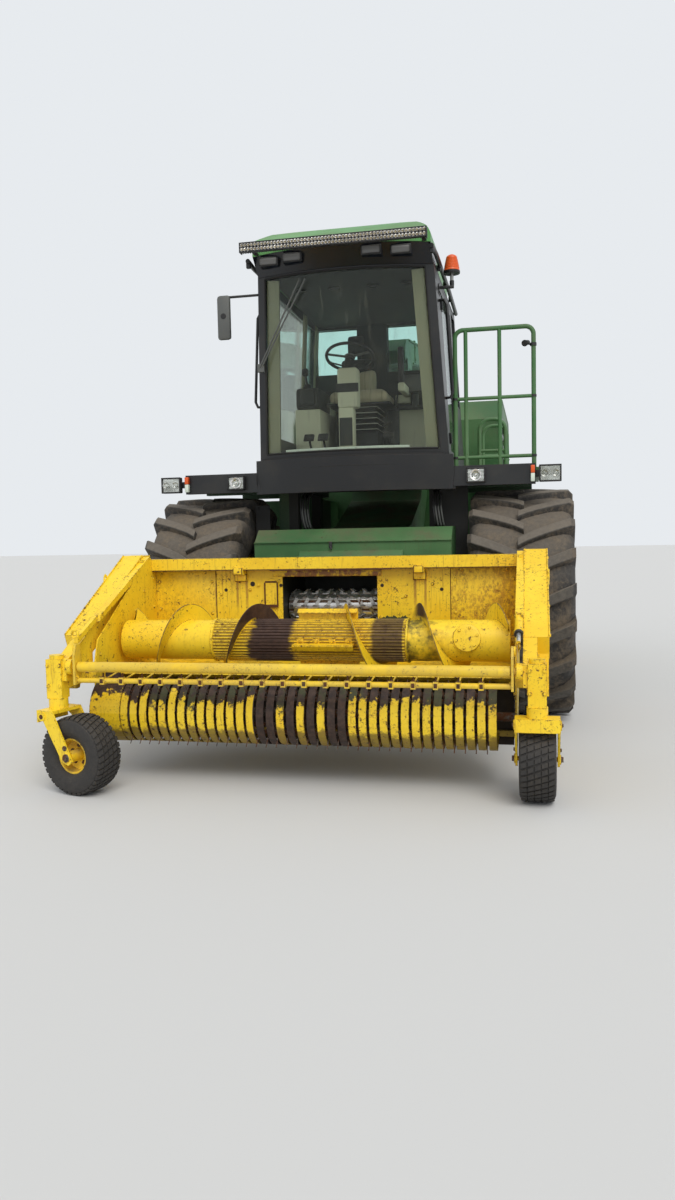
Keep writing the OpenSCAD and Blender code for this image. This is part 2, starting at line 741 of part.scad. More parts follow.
module radiator_door() {
  w = hood_half_w;
  g = door_gap;
  color("dimgray") for (z = [hood_z + 230, hood_top_z - 330])
    hinge_knuckle(w, hood_front + 300 + g - hinge_in, z, 100);
  color("dimgray") difference() {
    block([w - hood_t, hood_front + 300 + g, hood_z + 150 + g],
      [w, hood_front + 1350 - g, hood_top_z - 150 - g]);
    for (i = [0 : 8]) block([w - 50, hood_front + 360, hood_z + 230 + i * 100],
      [w + 10, hood_front + 1290, hood_z + 290 + i * 100]);
  }
}

module door() {
  x1 = cab_half_w;
  color("dimgray") on_side() {
    difference() {
      block([x1 - 40, door_y, door_sill_z], [x1, door_y + door_w, door_head_z]);
      block([x1 - 50, door_y + 55, door_sill_z + 70], [x1 + 10, door_y + door_w - 55, door_head_z - 55]);
    }
    for (z = [door_sill_z + 120, door_head_z - 200]) hinge_knuckle(x1, door_y - hinge_in, z, 80);
  }
}
// A hinge knuckle outside a wall whose face is at x, with its leaf reaching back over the door
module hinge_knuckle(x, y, z, h) {
  translate([x + hinge_out, y, z]) cylinder(h = h, r = hinge_out - seat_gap, $fn = 32);
  block([x - eps, y + hinge_in, z], [x + hinge_out - 1, y + 75, z + h]);
  block([x + 2, y, z], [x + hinge_out - 1, y + hinge_in + 1, z + h]);
}
hinge_out = 9;
hinge_in = 10;
module door_glass() {
  x1 = cab_half_w;
  g = seat_gap;
  color("lightblue") on_side() block([x1 - 24, door_y + 55 + g, door_sill_z + 70 + g],
    [x1 - 24 + glass_t, door_y + door_w - 55 - g, door_head_z - 55 - g]);
}

boom_z = 3030;
pin_back = 180;
module spout_base() {
  color("forestgreen") difference() {
    union() {
      translate([0, spout_y, spout_z + seat_gap]) cylinder(h = 60, r = 250);
      translate([0, spout_y, spout_z + 50]) cylinder(h = boom_z - 30 - spout_z - 50, r = 205);
      both() side(spout_half_w + 8, spout_half_w + 22, [
        [spout_y - 205, spout_z + 60], [spout_y - pin_back - 35, boom_z + 45],
        [spout_y - pin_back + 35, boom_z + 45],
        [spout_y - 100, spout_z + 180], [spout_y + 60, spout_z + 60], [spout_y - 100, spout_z + 60]]);
    }
    translate([0, spout_y, spout_z - 10]) cylinder(h = 400, r = 180);
    bar_x(-400, 400, spout_y - pin_back, boom_z + 15, 24 + 2 * seat_gap);
  }
}
module spout_boom() {
  t = spout_t;
  y0 = spout_y;
  y1 = spout_y + spout_reach;
  hw = spout_half_w;
  color("limegreen") {
    difference() {
      side(-hw, hw, [[y0 - 230, boom_z], [y0 - 230, boom_z + 120], [y0 - 120, boom_z + 240],
        [y0 + 60, boom_z + 280], [y0 + 1500, boom_z + 460], [y1 - 700, boom_z + 520],
        [y1 - 75, boom_z + 480], [y1 - 75, boom_z + 250], [y1 - 700, boom_z + 290],
        [y0 + 1500, boom_z + 240], [y0 + 300, boom_z + 70], [y0 + 240, boom_z]]);
      side(-hw + t, hw - t, [[y0 - 230 + t, boom_z - 5], [y0 - 230 + t, boom_z + 115],
        [y0 - 116, boom_z + 231], [y0 + 60, boom_z + 270], [y0 + 1500, boom_z + 450],
        [y1 - 700, boom_z + 510], [y1 - 60, boom_z + 469], [y1 - 60, boom_z + 240],
        [y1 - 700, boom_z + 280], [y0 + 1500, boom_z + 230], [y0 + 300, boom_z + 60],
        [y0 + 230, boom_z - 5]]);
    }
    both() {
      bar_x(hw - eps, hw + 22, y0 - pin_back, boom_z + 15, 24);
      bar_x(hw - eps, hw + 16, y1 - 110, boom_z + 420, 20);
    }
  }
}
module spout_cap() {
  y1 = spout_y + spout_reach;
  hw = spout_half_w;
  z = boom_z;
  color("limegreen") {
    both() difference() {
      side(hw + 6, hw + 14, [[y1 - 140, z + 395], [y1 - 140, z + 445], [y1 - 66, z + 492],
        [y1 + 45, z + 450], [y1 + 60, z + 330], [y1 - 20, z + 330], [y1 - 80, z + 395]]);
      bar_x(hw, hw + 30, y1 - 110, z + 420, 20 + 2 * seat_gap);
    }
    side(-hw - 7, hw + 7, [[y1 - 66, z + 482], [y1 - 66, z + 492], [y1 + 45, z + 450],
      [y1 + 60, z + 330], [y1 + 50, z + 330], [y1 + 37, z + 444]]);
  }
}

// Lift cylinders of the header under the chopper, opened at the rods' eyes
lift_x = 250;
module lift_cylinders() {
  color("dimgray") both() {
    bar([lift_x, 60, 700], [lift_x, -560, 590], 75);
    bar([lift_x, -555, 591], [lift_x, -1000, 512], 42);
    block([lift_x - 35, 30, 690], [lift_x + 35, 110, 760 - seat_gap]);
  }
}
module feed_housing() {
  w = feed_half_w;
  t = feed_plate;
  py = -drum_y;
  pz = drum_z;
  outline = [[feed_face, 560], [feed_face, 1230], [py - 250, 1230], [py - 250, 600]];
  color("forestgreen") difference() {
    union() {
      both() {
        side(w, w + t, outline);
        // Arms back to the chopper shaft
        side(405, 425, [[py - 380, pz - 90], [py - 380, pz + 60], [py, pz + 80], [py, pz - 80]]);
        bar_x(405, 425, py, pz, trunnion_d + 50);
        side(w + t - eps, 425, [[py - 520, pz - 90], [py - 520, pz + 60],
          [py - 370, pz + 60], [py - 370, pz - 90]]);
      }
      side(-w - eps, w + eps, [[feed_face, 1230 - t], [feed_face, 1230], [py - 250, 1230],
        [py - 250, 1230 - t]]);
      side(-w - eps, w + eps, [[feed_face, 560], [feed_face, 560 + t], [py - 250, 600 + t],
        [py - 250, 600]]);
      // Eyes of the lift cylinders
      for (x = [-lift_x, lift_x]) side(x - 30, x + 30, [[-1150, 575], [-1150, 520], [-1110, 470],
        [-1040, 470], [-1010, 575]]);
      // Flange that carries the header
      difference() {
        block([-w - 90, feed_face, 540], [w + 90, feed_face + 24, 1250]);
        block([-w, feed_face - 1, 574], [w, feed_face + 30, 1216]);
      }
    }
    bar_x(-404, 404, py, pz, 2 * (drum_r + run_gap));
    bar_x(-450, 450, py, pz, trunnion_d + 2 * seat_gap);
    // Seats of the roll shafts
    for (z = [roll_upper_z, roll_lower_z]) bar_x(-500, 500, roll_y, z, roll_shaft + 2 * seat_gap);
  }
}
trunnion_d = 110;
roll_y = -drum_y - 760;
roll_upper_z = 960;
roll_lower_z = 702;
roll_shaft = 50;
module feed_roll(z, r) {
  w = feed_half_w - run_gap;
  translate([0, roll_y, z]) {
    bar_x(-w, w, 0, 0, 2 * r - 30);
    bar_x(-feed_half_w - feed_plate + 1, feed_half_w + feed_plate - 1, 0, 0, roll_shaft);
    for (a = [0 : 30 : 330]) rotate([a, 0, 0]) block([-w, -5, r - 30], [w, 5, r]);
  }
}
module feed_roll_upper() { color("silver") feed_roll(roll_upper_z, 125); }
module feed_roll_lower() { color("silver") feed_roll(roll_lower_z, 105); }

trough_r = auger_r + trough_gap;
band_x0 = -band_pitch * (band_count - 1) / 2 + 50;
function arc(cy, cz, r, a0, a1, n) =
  [for (i = [0 : n]) let (a = a0 + (a1 - a0) * i / n) [cy + r * cos(a), cz + r * sin(a)]];

module header_frame() {
  hw = header_half_w;
  sill_z = 640;
  t = 8;
  ay = -auger_y;
  under = arc(ay, auger_z, trough_r, 230, 300, 8);
  over_ = arc(ay, auger_z, trough_r + t, 300, 230, 8);
  color("gold") {
    // Back wall with the feed opening
    difference() {
      block([-hw - eps, wall_y - t, sill_z - 60], [hw + eps, wall_y, header_top_z - beam_d + eps]);
      block([-feed_half_w, wall_y - 50, sill_z], [feed_half_w, wall_y + 50, 1180]);
    }
    block([-hw - end_t, wall_y - beam_d, header_top_z - beam_d], [hw + end_t, wall_y, header_top_z]);
    // Trough under the auger and floor to the sill
    side(-hw - eps, hw + eps, concat(under, [[wall_y - t + eps, sill_z - 30]],
      [[wall_y - t + eps, sill_z - 30 - t]], over_));
    // Bottom beam that carries the stripper bands
    block([-hw - eps, ay - 60, 470], [hw + eps, ay + 40, 545]);
    block([-hw - eps, ay - 20, 544], [hw + eps, ay, 556]);
    block([-454, wall_y - t - 12, 977], [-361, wall_y - t + eps, 1120]);
    translate([-407, wall_y - t + eps, 1118]) rotate([90, 0, 0]) cylinder(h = 12, d = 93);
    // Guard strut on the ladder side: barrel and rod, opened at the rod's eye
    bar([1272, -2250, 983], [1272, -2430, 907], 44);
    bar([1272, -2425, 909], [1272, -2520, 869], 22);
    // Stay on the other side
    side(-arm_x - 1, -hw - 20, [[-2262, 998], [-2282, 956], [-2520, 855], [-2520, 890]]);
    both() {
      // End plate round the auger and the reel
      difference() {
        side(hw, hw + end_t, [[wall_y, sill_z - 100], [wall_y, header_top_z - 5],
          [wall_y - 160, header_top_z - 5], [-pipe_y + 290, 850], [-pipe_y + 240, 700],
          [-pipe_y + 240, 500], [-reel_y - 60, 250], [-reel_y + 270, 250], [ay + 60, 450]]);
        bar_x(hw - 10, hw + 50, ay, auger_z, 60 + 2 * seat_gap);
        bar_x(hw - 10, hw + 50, -reel_y, reel_z, 50 + 2 * seat_gap);
      }
      // Diagonal arm and caster post, bored for the caster's shaft and the guard's stub
      difference() {
        union() {
          side(arm_x, arm_x + arm_w, [[wall_y, 1180], [wall_y, header_top_z + 30],
            [wall_y - 130, header_top_z + 30], [-2380, 885], [-2330, 760]]);
          side(arm_x, arm_x + 75, [[-2250, 800], [-2250, 950], [-pipe_y + 40, pipe_z + 60],
            [-pipe_y - 30, pipe_z + 40], [-pipe_y - 30, pipe_z - 80], [-pipe_y + 60, pipe_z - 90]]);
          side(arm_x + 74, arm_x + arm_w - 4, [[-2150, 880], [-2330, 860], [-2380, 560],
            [-2340, 560], [-2290, 700], [-2150, 800]]);
          block([caster_x - 48, -pipe_y - 45, 545], [caster_x + 48, -pipe_y + 45, 775]);
          block([arm_x + 20, -pipe_y + 30, 600], [arm_x + 74, -2330, 660]);
          translate([caster_x, -pipe_y, 770]) cylinder(h = 28, d = 84);
        }
        translate([caster_x, -pipe_y, 500]) cylinder(h = fork_top_z + 5 - 500, d = 50 + 2 * seat_gap);
        bar_x(arm_x - 10, arm_x + 26, -pipe_y, pipe_z, 40 + 2 * seat_gap);
      }
      block([hw + end_t - eps, wall_y - 200, 1180], [arm_x + eps, wall_y, header_top_z]);
      // Square bar along the arm
      side(hw, arm_x + 1, [[wall_y - 70, header_top_z - 8], [wall_y - 110, header_top_z + 22],
        [-2262, 998], [-2282, 956]]);
      block([hw + end_t - eps, -pipe_y + 240, 600], [arm_x + eps, -pipe_y + 300, 700]);
      block([arm_x, -pipe_y + 240, 600], [arm_x + 60, -pipe_y + 300, 780]);
      // Clips and straps on the back wall
      block([575, wall_y - t - 22, 1150], [660, wall_y - t + eps, 1200]);
      block([582, wall_y - beam_d - 12, 1195], [653, wall_y - t + eps, 1245]);
      // Bearing of the crop guard
      difference() {
        bar_x(hw + 12, arm_x + eps, -pipe_y, pipe_z, 90);
        bar_x(hw, arm_x + 26, -pipe_y, pipe_z, 40 + 2 * seat_gap);
      }
    }
  }
}

module stripper_bands() {
  t = 5;
  ry = -reel_y;
  x0 = band_x0;
  outer = arc(ry, reel_z, band_r, 90, 290, 16);
  inner = arc(ry, reel_z, band_r - t, 290, 90, 16);
  top_z = auger_z - trough_r - 10;
  top = [[-auger_y - 62, top_z - t], [-auger_y - 62, top_z]];
  color("goldenrod") {
    for (i = [0 : band_count - 1])
      side(x0 + i * band_pitch - band_w / 2, x0 + i * band_pitch + band_w / 2,
        concat([top[1]], outer, [[ry + 235, reel_z - 150]], [[ry + 235, reel_z - 150 + t]],
          inner, [top[0]]));
    // Wide shield over the reel's bearing on the side away from the ladder, and its hanger
    side(-header_half_w + seat_gap, band_x0 - band_w / 2 - 4,
      concat([top[1]], arc(ry, reel_z, band_r + 3, 90, 290, 16), [[ry + 235, reel_z - 150]],
        [[ry + 235, reel_z - 150 + t]], arc(ry, reel_z, band_r - t + 3, 290, 90, 16), [top[0]]));
    block([-1201, ry - 60, reel_z + band_r - 30], [-1101, ry - 50, reel_z + band_r + 95]);
    // Bar behind the bands
    block([-header_half_w + seat_gap, -auger_y - 72, 480],
      [header_half_w - seat_gap, -auger_y - 60 - seat_gap, top_z + 1]);
    block([-header_half_w + seat_gap, ry + 228, reel_z - 165],
      [header_half_w - seat_gap, ry + 250, reel_z - 130]);
  }
}

module flight(hand) {
  l = header_half_w - 40 - 190;
  mirror([hand, 0, 0]) translate([190, 0, 0]) rotate([0, 90, 0])
    linear_extrude(height = l, twist = -360 * l / flight_pitch, slices = 56, $fn = 4)
      polygon([[auger_tube_r - 5, -9], [auger_r, -9], [auger_r, 9], [auger_tube_r - 5, 9]]);
}
module auger() {
  color("gold") translate([0, -auger_y, auger_z]) {
    bar_x(-header_half_w + 30, header_half_w - 30, 0, 0, 2 * auger_tube_r);
    bar_x(-header_half_w - end_t + 1, header_half_w + end_t - 1, 0, 0, 60);
    flight(0);
    flight(1);
    for (a = [0 : 120 : 240]) rotate([a, 0, 0])
      block([-76, -6, auger_tube_r - 5], [300, 6, auger_tube_r + 70]);
    // End rings of the ribbed middle and a round cover
    for (x = [-ribbed_half_l - 12, ribbed_half_l]) bar_x(x, x + 12, 0, 0, 2 * auger_tube_r + 24);
    rotate([76, 0, 0]) translate([968, 0, auger_tube_r - 14]) cylinder(h = 20, d = 165);
    // Lengthwise ribs of the middle
    for (a = [20 : 40 : 340]) rotate([a, 0, 0])
      block([-ribbed_half_l, -5, auger_tube_r - 4], [ribbed_half_l, 5, auger_tube_r + 8]);
  }
}

module tine_reel() {
  x0 = band_x0;
  w = band_pitch * (band_count - 1) / 2;
  color("dimgray") translate([0, -reel_y, reel_z]) {
    bar_x(-header_half_w - end_t + 1, header_half_w + end_t - 1, 0, 0, 50);
    for (x = [x0 + 10, x0 + w, x0 + 2 * w - 30]) bar_x(x, x + 12, 0, 0, 330);
    for (a = [45 : 90 : 315]) rotate([a, 0, 0]) {
      bar_x(x0 + 10, x0 + 2 * w - 18, 0, 140, 30);
      for (i = [0 : band_count - 2])
        translate([x0 + (i + 0.5) * band_pitch, 0, 145]) cylinder(h = tine_r - 145, d = 6, $fn = 6);
    }
  }
}

// Lever of the crop guard and the eye at its top, beside the end plate
lever_x = header_half_w - 8;
eye_y = -pipe_y + 10;
eye_z = pipe_z + 107;
module crop_guard() {
  hw = header_half_w;
  color("gold") {
    bar_x(-hw + 20, hw - 20, -pipe_y, pipe_z, pipe_d);
    bar_x(-arm_x - 20, arm_x + 20, -pipe_y, pipe_z, 40);
    bar_x(-hw + 2, hw - 2, -pipe_y - 5, pipe_z - 78, 30);
    for (i = [-9 : 9]) {
      bar([i * 120, -pipe_y, pipe_z - 78], [i * 120, -pipe_y + 405, pipe_z - 34], 10);
      block([i * 120 - 14, -pipe_y - 24, pipe_z - 99], [i * 120 + 14, -pipe_y + 14, pipe_z - 57]);
    }
    // Lever with the eye of the guard's strut
    both() {
      side(lever_x - 7, lever_x + 7, [[-pipe_y - 38, pipe_z - 100], [-pipe_y - 38, pipe_z + 70],
        [eye_y - 22, eye_z + 24], [eye_y + 22, eye_z + 24], [-pipe_y + 45, pipe_z + 20],
        [-pipe_y + 40, pipe_z - 100]]);
    }
  }
}

// Top of the caster's shaft, under the crop guard's stub
fork_top_z = 690;
// Caster fork under its post at the origin, trailing to +Y
module caster_fork() {
  hw = caster_tyre_w / 2 + 8;
  top = caster_tyre_d + 18;
  color("gold") {
    translate([0, 0, top]) cylinder(h = fork_top_z - top, d = 50);
    translate([0, 0, top]) cylinder(h = 545 - seat_gap - top, d = 110);
    block([-hw - 12, -58, top - 8], [hw + 12, 60, top + 12]);
    block([-hw - 12, -58, top - 58], [hw + 12, -48, top + 12]);
    both() side(hw, hw + 12, [[-45, top + 10], [60, top + 10], [caster_trail + 40, caster_r - 20],
      [caster_trail + 10, caster_r - 45], [caster_trail - 35, caster_r - 30]]);
    bar_x(-hw - 10, hw + 10, caster_trail, caster_r, 25);
  }
}
module caster_wheel() {
  hw = caster_tyre_w / 2;
  r = caster_r;
  color("black") translate([0, caster_trail, r]) difference() {
    union() {
      rotate([0, 90, 0]) rotate_extrude() polygon([
        [60, -hw * 0.7], [100, -hw * 0.75], [120, -hw * 0.95], [r - 70, -hw], [r - 25, -hw * 0.95],
        [r - 6, -hw * 0.8], [r, -hw * 0.4], [r, hw * 0.4], [r - 6, hw * 0.8], [r - 25, hw * 0.95],
        [r - 70, hw], [120, hw * 0.95], [100, hw * 0.75], [60, hw * 0.7]]);
      bar_x(-hw - 7, hw + 7, 0, 0, 60);
      bar_x(-20, 20, 0, 0, 150);
    }
    bar_x(-hw - 20, hw + 20, 0, 0, 25 + 2 * seat_gap);
  }
}

module place_caster_left() {
  translate([caster_x, -pipe_y, 0]) children();
}
module place_caster_right() {
  translate([-caster_x, -pipe_y, 0]) rotate([0, 0, caster_turn]) children();
}

module show() {
  frame();
  front_axle();
  rear_axle();
  chopper_housing();
  cab_shell();
  cab_roof();
  visor();
  cab_glass();
  cab_console();
  seat();
  front_beam();
  lamps();
  deck();
  railing();
  light_bar();
  beacon();
  mirrors();
  wipers();
  rear_body();
  engine();
  exhaust();
  fuel_tank();
  radiator_door();
  color("black") translate([front_track / 2, 0, front_r]) tyre(front_tyre_d, front_tyre_w, front_rim_d, lug_count, -1);  // front_tyre_left
  color("gold") translate([front_track / 2, 0, front_r]) rim(front_rim_d, front_tyre_w, -60, 230, 10, front_pcd);  // front_rim_left
  color("black") translate([-front_track / 2, 0, front_r]) tyre(front_tyre_d, front_tyre_w, front_rim_d, lug_count, -1);  // front_tyre_right
  color("gold") translate([-front_track / 2, 0, front_r]) mirror([1, 0, 0])  // front_rim_right
      rim(front_rim_d, front_tyre_w, -60, 230, 10, front_pcd);
  knuckle_form();  // knuckle_left
  mirror([1, 0, 0]) knuckle_form();  // knuckle_right
  color("black") translate([rear_track / 2, wheelbase, rear_r]) tyre(rear_tyre_d, rear_tyre_w, rear_rim_d, lug_count, -1);  // rear_tyre_left
  color("gold") translate([rear_track / 2, wheelbase, rear_r]) rim(rear_rim_d, rear_tyre_w, 20, 190, 8, rear_pcd);  // rear_rim_left
  color("black") translate([-rear_track / 2, wheelbase, rear_r]) tyre(rear_tyre_d, rear_tyre_w, rear_rim_d, lug_count, -1);  // rear_tyre_right
  color("gold") translate([-rear_track / 2, wheelbase, rear_r]) mirror([1, 0, 0])  // rear_rim_right
      rim(rear_rim_d, rear_tyre_w, 20, 190, 8, rear_pcd);
  door();
  door_glass();
  spout_base();
  spout_boom();
  spout_cap();
  lift_cylinders();
  feed_housing();
  header_frame();
  stripper_bands();
  auger();
  tine_reel();
  crop_guard();
  feed_roll_upper();
  feed_roll_lower();
  place_caster_left() caster_fork();  // caster_fork_left
  place_caster_left() caster_wheel();  // caster_wheel_left
  place_caster_right() caster_fork();  // caster_fork_right
  place_caster_right() caster_wheel();  // caster_wheel_right
}
translate([0, origin_y, 0]) show();
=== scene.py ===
"""Looks of a self-propelled forage harvester that stands parked with its pickup header down.

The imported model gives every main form. This script gives the finishes, the seat, and the small
parts that sit on the forms. Lengths are in metres, the front faces -Y, and +X is the ladder side.
"""
import math

import bmesh
import bpy
from mathutils import Matrix, Vector, noise


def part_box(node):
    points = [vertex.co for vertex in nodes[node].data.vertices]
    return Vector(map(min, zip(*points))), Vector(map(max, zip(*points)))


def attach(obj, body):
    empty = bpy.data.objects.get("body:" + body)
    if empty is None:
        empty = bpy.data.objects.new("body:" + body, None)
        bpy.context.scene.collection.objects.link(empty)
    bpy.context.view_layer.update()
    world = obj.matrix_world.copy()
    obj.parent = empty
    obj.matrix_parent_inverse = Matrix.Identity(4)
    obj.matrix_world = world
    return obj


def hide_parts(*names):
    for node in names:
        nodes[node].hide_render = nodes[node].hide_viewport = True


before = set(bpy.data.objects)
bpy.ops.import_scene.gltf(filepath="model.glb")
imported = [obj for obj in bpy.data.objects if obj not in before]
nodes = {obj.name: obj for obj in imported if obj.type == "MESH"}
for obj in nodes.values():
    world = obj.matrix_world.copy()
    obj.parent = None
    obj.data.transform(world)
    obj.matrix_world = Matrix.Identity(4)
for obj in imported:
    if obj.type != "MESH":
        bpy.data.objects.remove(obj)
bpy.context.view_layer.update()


def middle(node):
    low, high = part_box(node)
    return (low + high) / 2


# Materials


class Wire:
    """The output of a shader node, with arithmetic that adds Math nodes."""

    def __init__(self, look, socket):
        self.look, self.socket = look, socket

    def maths(self, operation, a, b=0.0, clamp=False):
        return self.look.node("Math", {"operation": operation, "use_clamp": clamp}, {0: a, 1: b})

    def __add__(self, other):
        return self.maths("ADD", self, other)

    def __sub__(self, other):
        return self.maths("SUBTRACT", self, other)

    def __rsub__(self, other):
        return self.maths("SUBTRACT", other, self)

    def __mul__(self, other):
        return self.maths("MULTIPLY", self, other)

    def __truediv__(self, other):
        return self.maths("DIVIDE", self, other)

    def __pow__(self, other):
        return self.maths("POWER", self, other)

    def __mod__(self, other):
        return self.maths("FLOORED_MODULO", self, other)

    __radd__ = __add__
    __rmul__ = __mul__

    def larger(self, other):
        return self.maths("MAXIMUM", self, other)

    def size(self):
        return self.maths("ABSOLUTE", self)

    def clipped(self):
        return self.maths("ADD", self, 0.0, clamp=True)

    def rise(self, low, high):
        """0 below low, 1 above high, and smooth between them; low may be the larger."""
        if low > high:
            return 1 - self.rise(high, low)
        settings = {"interpolation_type": "SMOOTHSTEP"}
        return self.look.node("MapRange", settings, {0: self, 1: low, 2: high, 3: 0.0, 4: 1.0})


class Look:
    """One material, built as expressions on places, noises and masks."""

    def __init__(self, name):
        self.material = bpy.data.materials.new(name)
        self.material.use_nodes = True
        self.tree = self.material.node_tree
        self.tree.nodes.clear()
        self.place = self.node("TexCoord", {}, {}, "Object")
        self.parts = None

    def node(self, kind, settings, values, out=0):
        """Adds a node: its settings first, then the values or wires of its inputs."""
        made = self.tree.nodes.new("ShaderNode" + kind)
        for key, value in settings.items():
            if key == "stops":
                for stop, (position, colour) in zip(made.color_ramp.elements, value):
                    stop.position, stop.color = position, (*colour, 1.0)
            else:
                setattr(made, key, value)
        for key, value in values.items():
            if isinstance(value, Wire):
                self.tree.links.new(value.socket, made.inputs[key])
            elif isinstance(value, tuple) and made.inputs[key].type == "RGBA":
                made.inputs[key].default_value = (*value[:3], 1.0)
            else:
                made.inputs[key].default_value = value
        return Wire(self, made.outputs[out] if made.outputs else None)

    def axis(self, letter):
        if self.parts is None:
            self.parts = self.tree.nodes.new("ShaderNodeSeparateXYZ")
            self.tree.links.new(self.place.socket, self.parts.inputs[0])
        return Wire(self, self.parts.outputs["XYZ".index(letter)])

    def stretched(self, scale):
        return self.node("Mapping", {}, {"Vector": self.place, "Scale": scale})

    def noise(self, scale, detail=3.0, roughness=0.55, place=None):
        values = {"Vector": place or self.place, "Scale": scale, "Detail": detail,
                  "Roughness": roughness}
        return self.node("TexNoise", {}, values, "Fac")

    def mix(self, amount, a, b):
        return self.node("Mix", {"data_type": "RGBA"}, {0: amount, 6: a, 7: b}, 2)

    def facing(self, letter):
        """The part of the surface's own normal that points along an axis, from -1 to 1."""
        normal = self.node("NewGeometry", {}, {}, "Normal")
        return self.node("SeparateXYZ", {}, {0: normal}, "XYZ".index(letter))

    def edge(self, radius):
        """1 on sharp edges and 0 on flat faces, read from a rounded normal."""
        soft = self.node("Bevel", {"samples": 4}, {"Radius": radius})
        hard = self.node("NewGeometry", {}, {}, "Normal")
        straight = self.node("VectorMath", {"operation": "DOT_PRODUCT"}, {0: soft, 1: hard}, "Value")
        return straight.rise(0.985, 0.90)

    def bump(self, height, distance, strength=1.0, rounded=0.0):
        values = {"Height": height, "Distance": distance, "Strength": strength}
        if rounded:
            values["Normal"] = self.node("Bevel", {"samples": 4}, {"Radius": rounded})
        return self.node("Bump", {}, values)

    def surface(self, **sockets):
        """Ends the material in one Principled shader; the words are its sockets' names."""
        values = {key.replace("_", " "): value for key, value in sockets.items()}
        shader = self.node("BsdfPrincipled", {}, values)
        return self.end(shader)

    def end(self, shader):
        self.node("OutputMaterial", {}, {"Surface": shader})
        return self.material


RUST = (0.105, 0.040, 0.016)
DARK_RUST = (0.040, 0.019, 0.012)
MUD = (0.180, 0.140, 0.095)
SOIL = (0.055, 0.040, 0.028)
MOSS = (0.060, 0.075, 0.022)


def farm_paint(name, paint, faded, wear=0.5, grime=0.5, streaks=0.4, gloss=0.42, moss=0.0,
               grime_and_shade_box=None):
    """Old machine paint: faded in clouds, chipped to rust, with dirt on top and rain streaks."""
    look = Look(name)
    clouds = look.noise(1.3, 4)
    fine = look.noise(26.0, 5, 0.65)
    specks = look.noise(120.0, 3, 0.6)
    colour = look.mix(clouds.rise(0.38, 0.66), paint, faded)
    colour = look.mix((fine.rise(0.55, 0.8) * 0.25), colour, tuple(c * 0.72 for c in paint))
    # Rain streaks run down upright faces
    upright = 1 - look.facing("Z").size()
    runs = look.noise(9.0, 4, 0.7, look.stretched((6.0, 6.0, 0.35)))
    stained = (runs.rise(0.52, 0.78) * upright * clouds.rise(0.35, 0.6) * streaks).clipped()
    colour = look.mix(stained, colour, tuple(0.35 * p + 0.65 * r for p, r in zip(paint, RUST)))
    # Dirt film, thicker on top and in large patches
    film = look.noise(3.1, 6, 0.68)
    flat = look.facing("Z").rise(0.3, 0.95)
    dirt = ((film.rise(0.46, 0.72) * 0.55 + flat * film.rise(0.3, 0.6) * 0.6
             + specks.rise(0.6, 0.75) * 0.3) * grime).clipped()
    colour = look.mix(dirt, colour, MUD if not moss else tuple(
        m * (1 - moss) + g * moss for m, g in zip(MUD, MOSS)))
    # Chips: at edges first, and as spots elsewhere
    rim = look.edge(0.006)
    spots = look.noise(42.0, 4, 0.7)
    patchy = look.noise(5.0, 3, 0.6)
    chip = (spots + rim * 0.16 + (patchy - 0.5) * 0.22).rise(0.735 - 0.1 * wear, 0.775 - 0.1 * wear)
    halo = (spots + rim * 0.16 + (patchy - 0.5) * 0.22).rise(0.64 - 0.1 * wear, 0.75 - 0.1 * wear)
    colour = look.mix(halo * 0.35, colour, tuple(0.5 * p + 0.5 * r for p, r in zip(paint, RUST)))
    colour = look.mix(chip, colour, look.mix(fine.rise(0.4, 0.6), RUST, DARK_RUST))
    if grime_and_shade_box:
        # Painted shade, with crop juice and grime, turns the paint near-black inside the feed mouth, or
        # under the cab
        half, back, low, high = grime_and_shade_box
        x, y, z = (look.axis(letter) for letter in "XYZ")
        grime_and_shade_inside = ((half - x.size()).rise(0.0, 0.003) * (back - y).rise(0.0, 0.02)
                  * (high - z).rise(0.0, 0.02) * (z - low).rise(0.0, 0.02))
        colour = look.mix(grime_and_shade_inside * 0.97, colour, (0.010, 0.009, 0.007))
    rough = (gloss + clouds * 0.12 + dirt * 0.4 + chip * 0.35).clipped()
    height = fine * 0.25 - chip * 0.8 + dirt * 0.3
    return look.surface(Base_Color=colour, Roughness=rough,
                        Normal=look.bump(height, 0.0006, 0.6, 0.004))


def yellow_base(look, wear, dirt_amount):
    """Yellow paint with rust spots, chipped edges and brown speckles.

    Gives its colour, roughness and height, and the two noises that it is made from.
    """
    clouds = look.noise(1.7, 4)
    fine = look.noise(26.0, 5, 0.65)
    colour = look.mix(clouds.rise(0.36, 0.66), YELLOW, FADED_YELLOW)
    colour = look.mix(fine.rise(0.5, 0.8) * 0.35, colour, (0.50, 0.25, 0.010))
    upright = 1 - look.facing("Z").size()
    runs = look.noise(11.0, 4, 0.7, look.stretched((5.0, 5.0, 0.3)))
    stained = (runs.rise(0.54, 0.76) * upright * clouds.rise(0.3, 0.6) * 0.75).clipped()
    colour = look.mix(stained, colour, (0.26, 0.115, 0.014))
    specks = look.noise(95.0, 3, 0.6)
    patchy = look.noise(4.0, 4, 0.65)
    dirt = ((specks + (patchy - 0.5) * 0.55).rise(0.62, 0.72) * dirt_amount).clipped()
    colour = look.mix(dirt * 0.8, colour, (0.115, 0.070, 0.022))
    rim = look.edge(0.006)
    spots = look.noise(38.0, 4, 0.7) + rim * 0.15 + (patchy - 0.5) * 0.25
    chip = spots.rise(0.70 - 0.08 * wear, 0.735 - 0.08 * wear)
    halo = spots.rise(0.62 - 0.08 * wear, 0.71 - 0.08 * wear)
    colour = look.mix(halo * 0.45, colour, (0.36, 0.17, 0.016))
    colour = look.mix(chip, colour, look.mix(fine.rise(0.4, 0.6), RUST, DARK_RUST))
    rough = (0.38 + clouds * 0.12 + dirt * 0.35 + chip * 0.35).clipped()
    return colour, rough, fine * 0.25 - chip * 0.8 + dirt * 0.3, patchy, fine


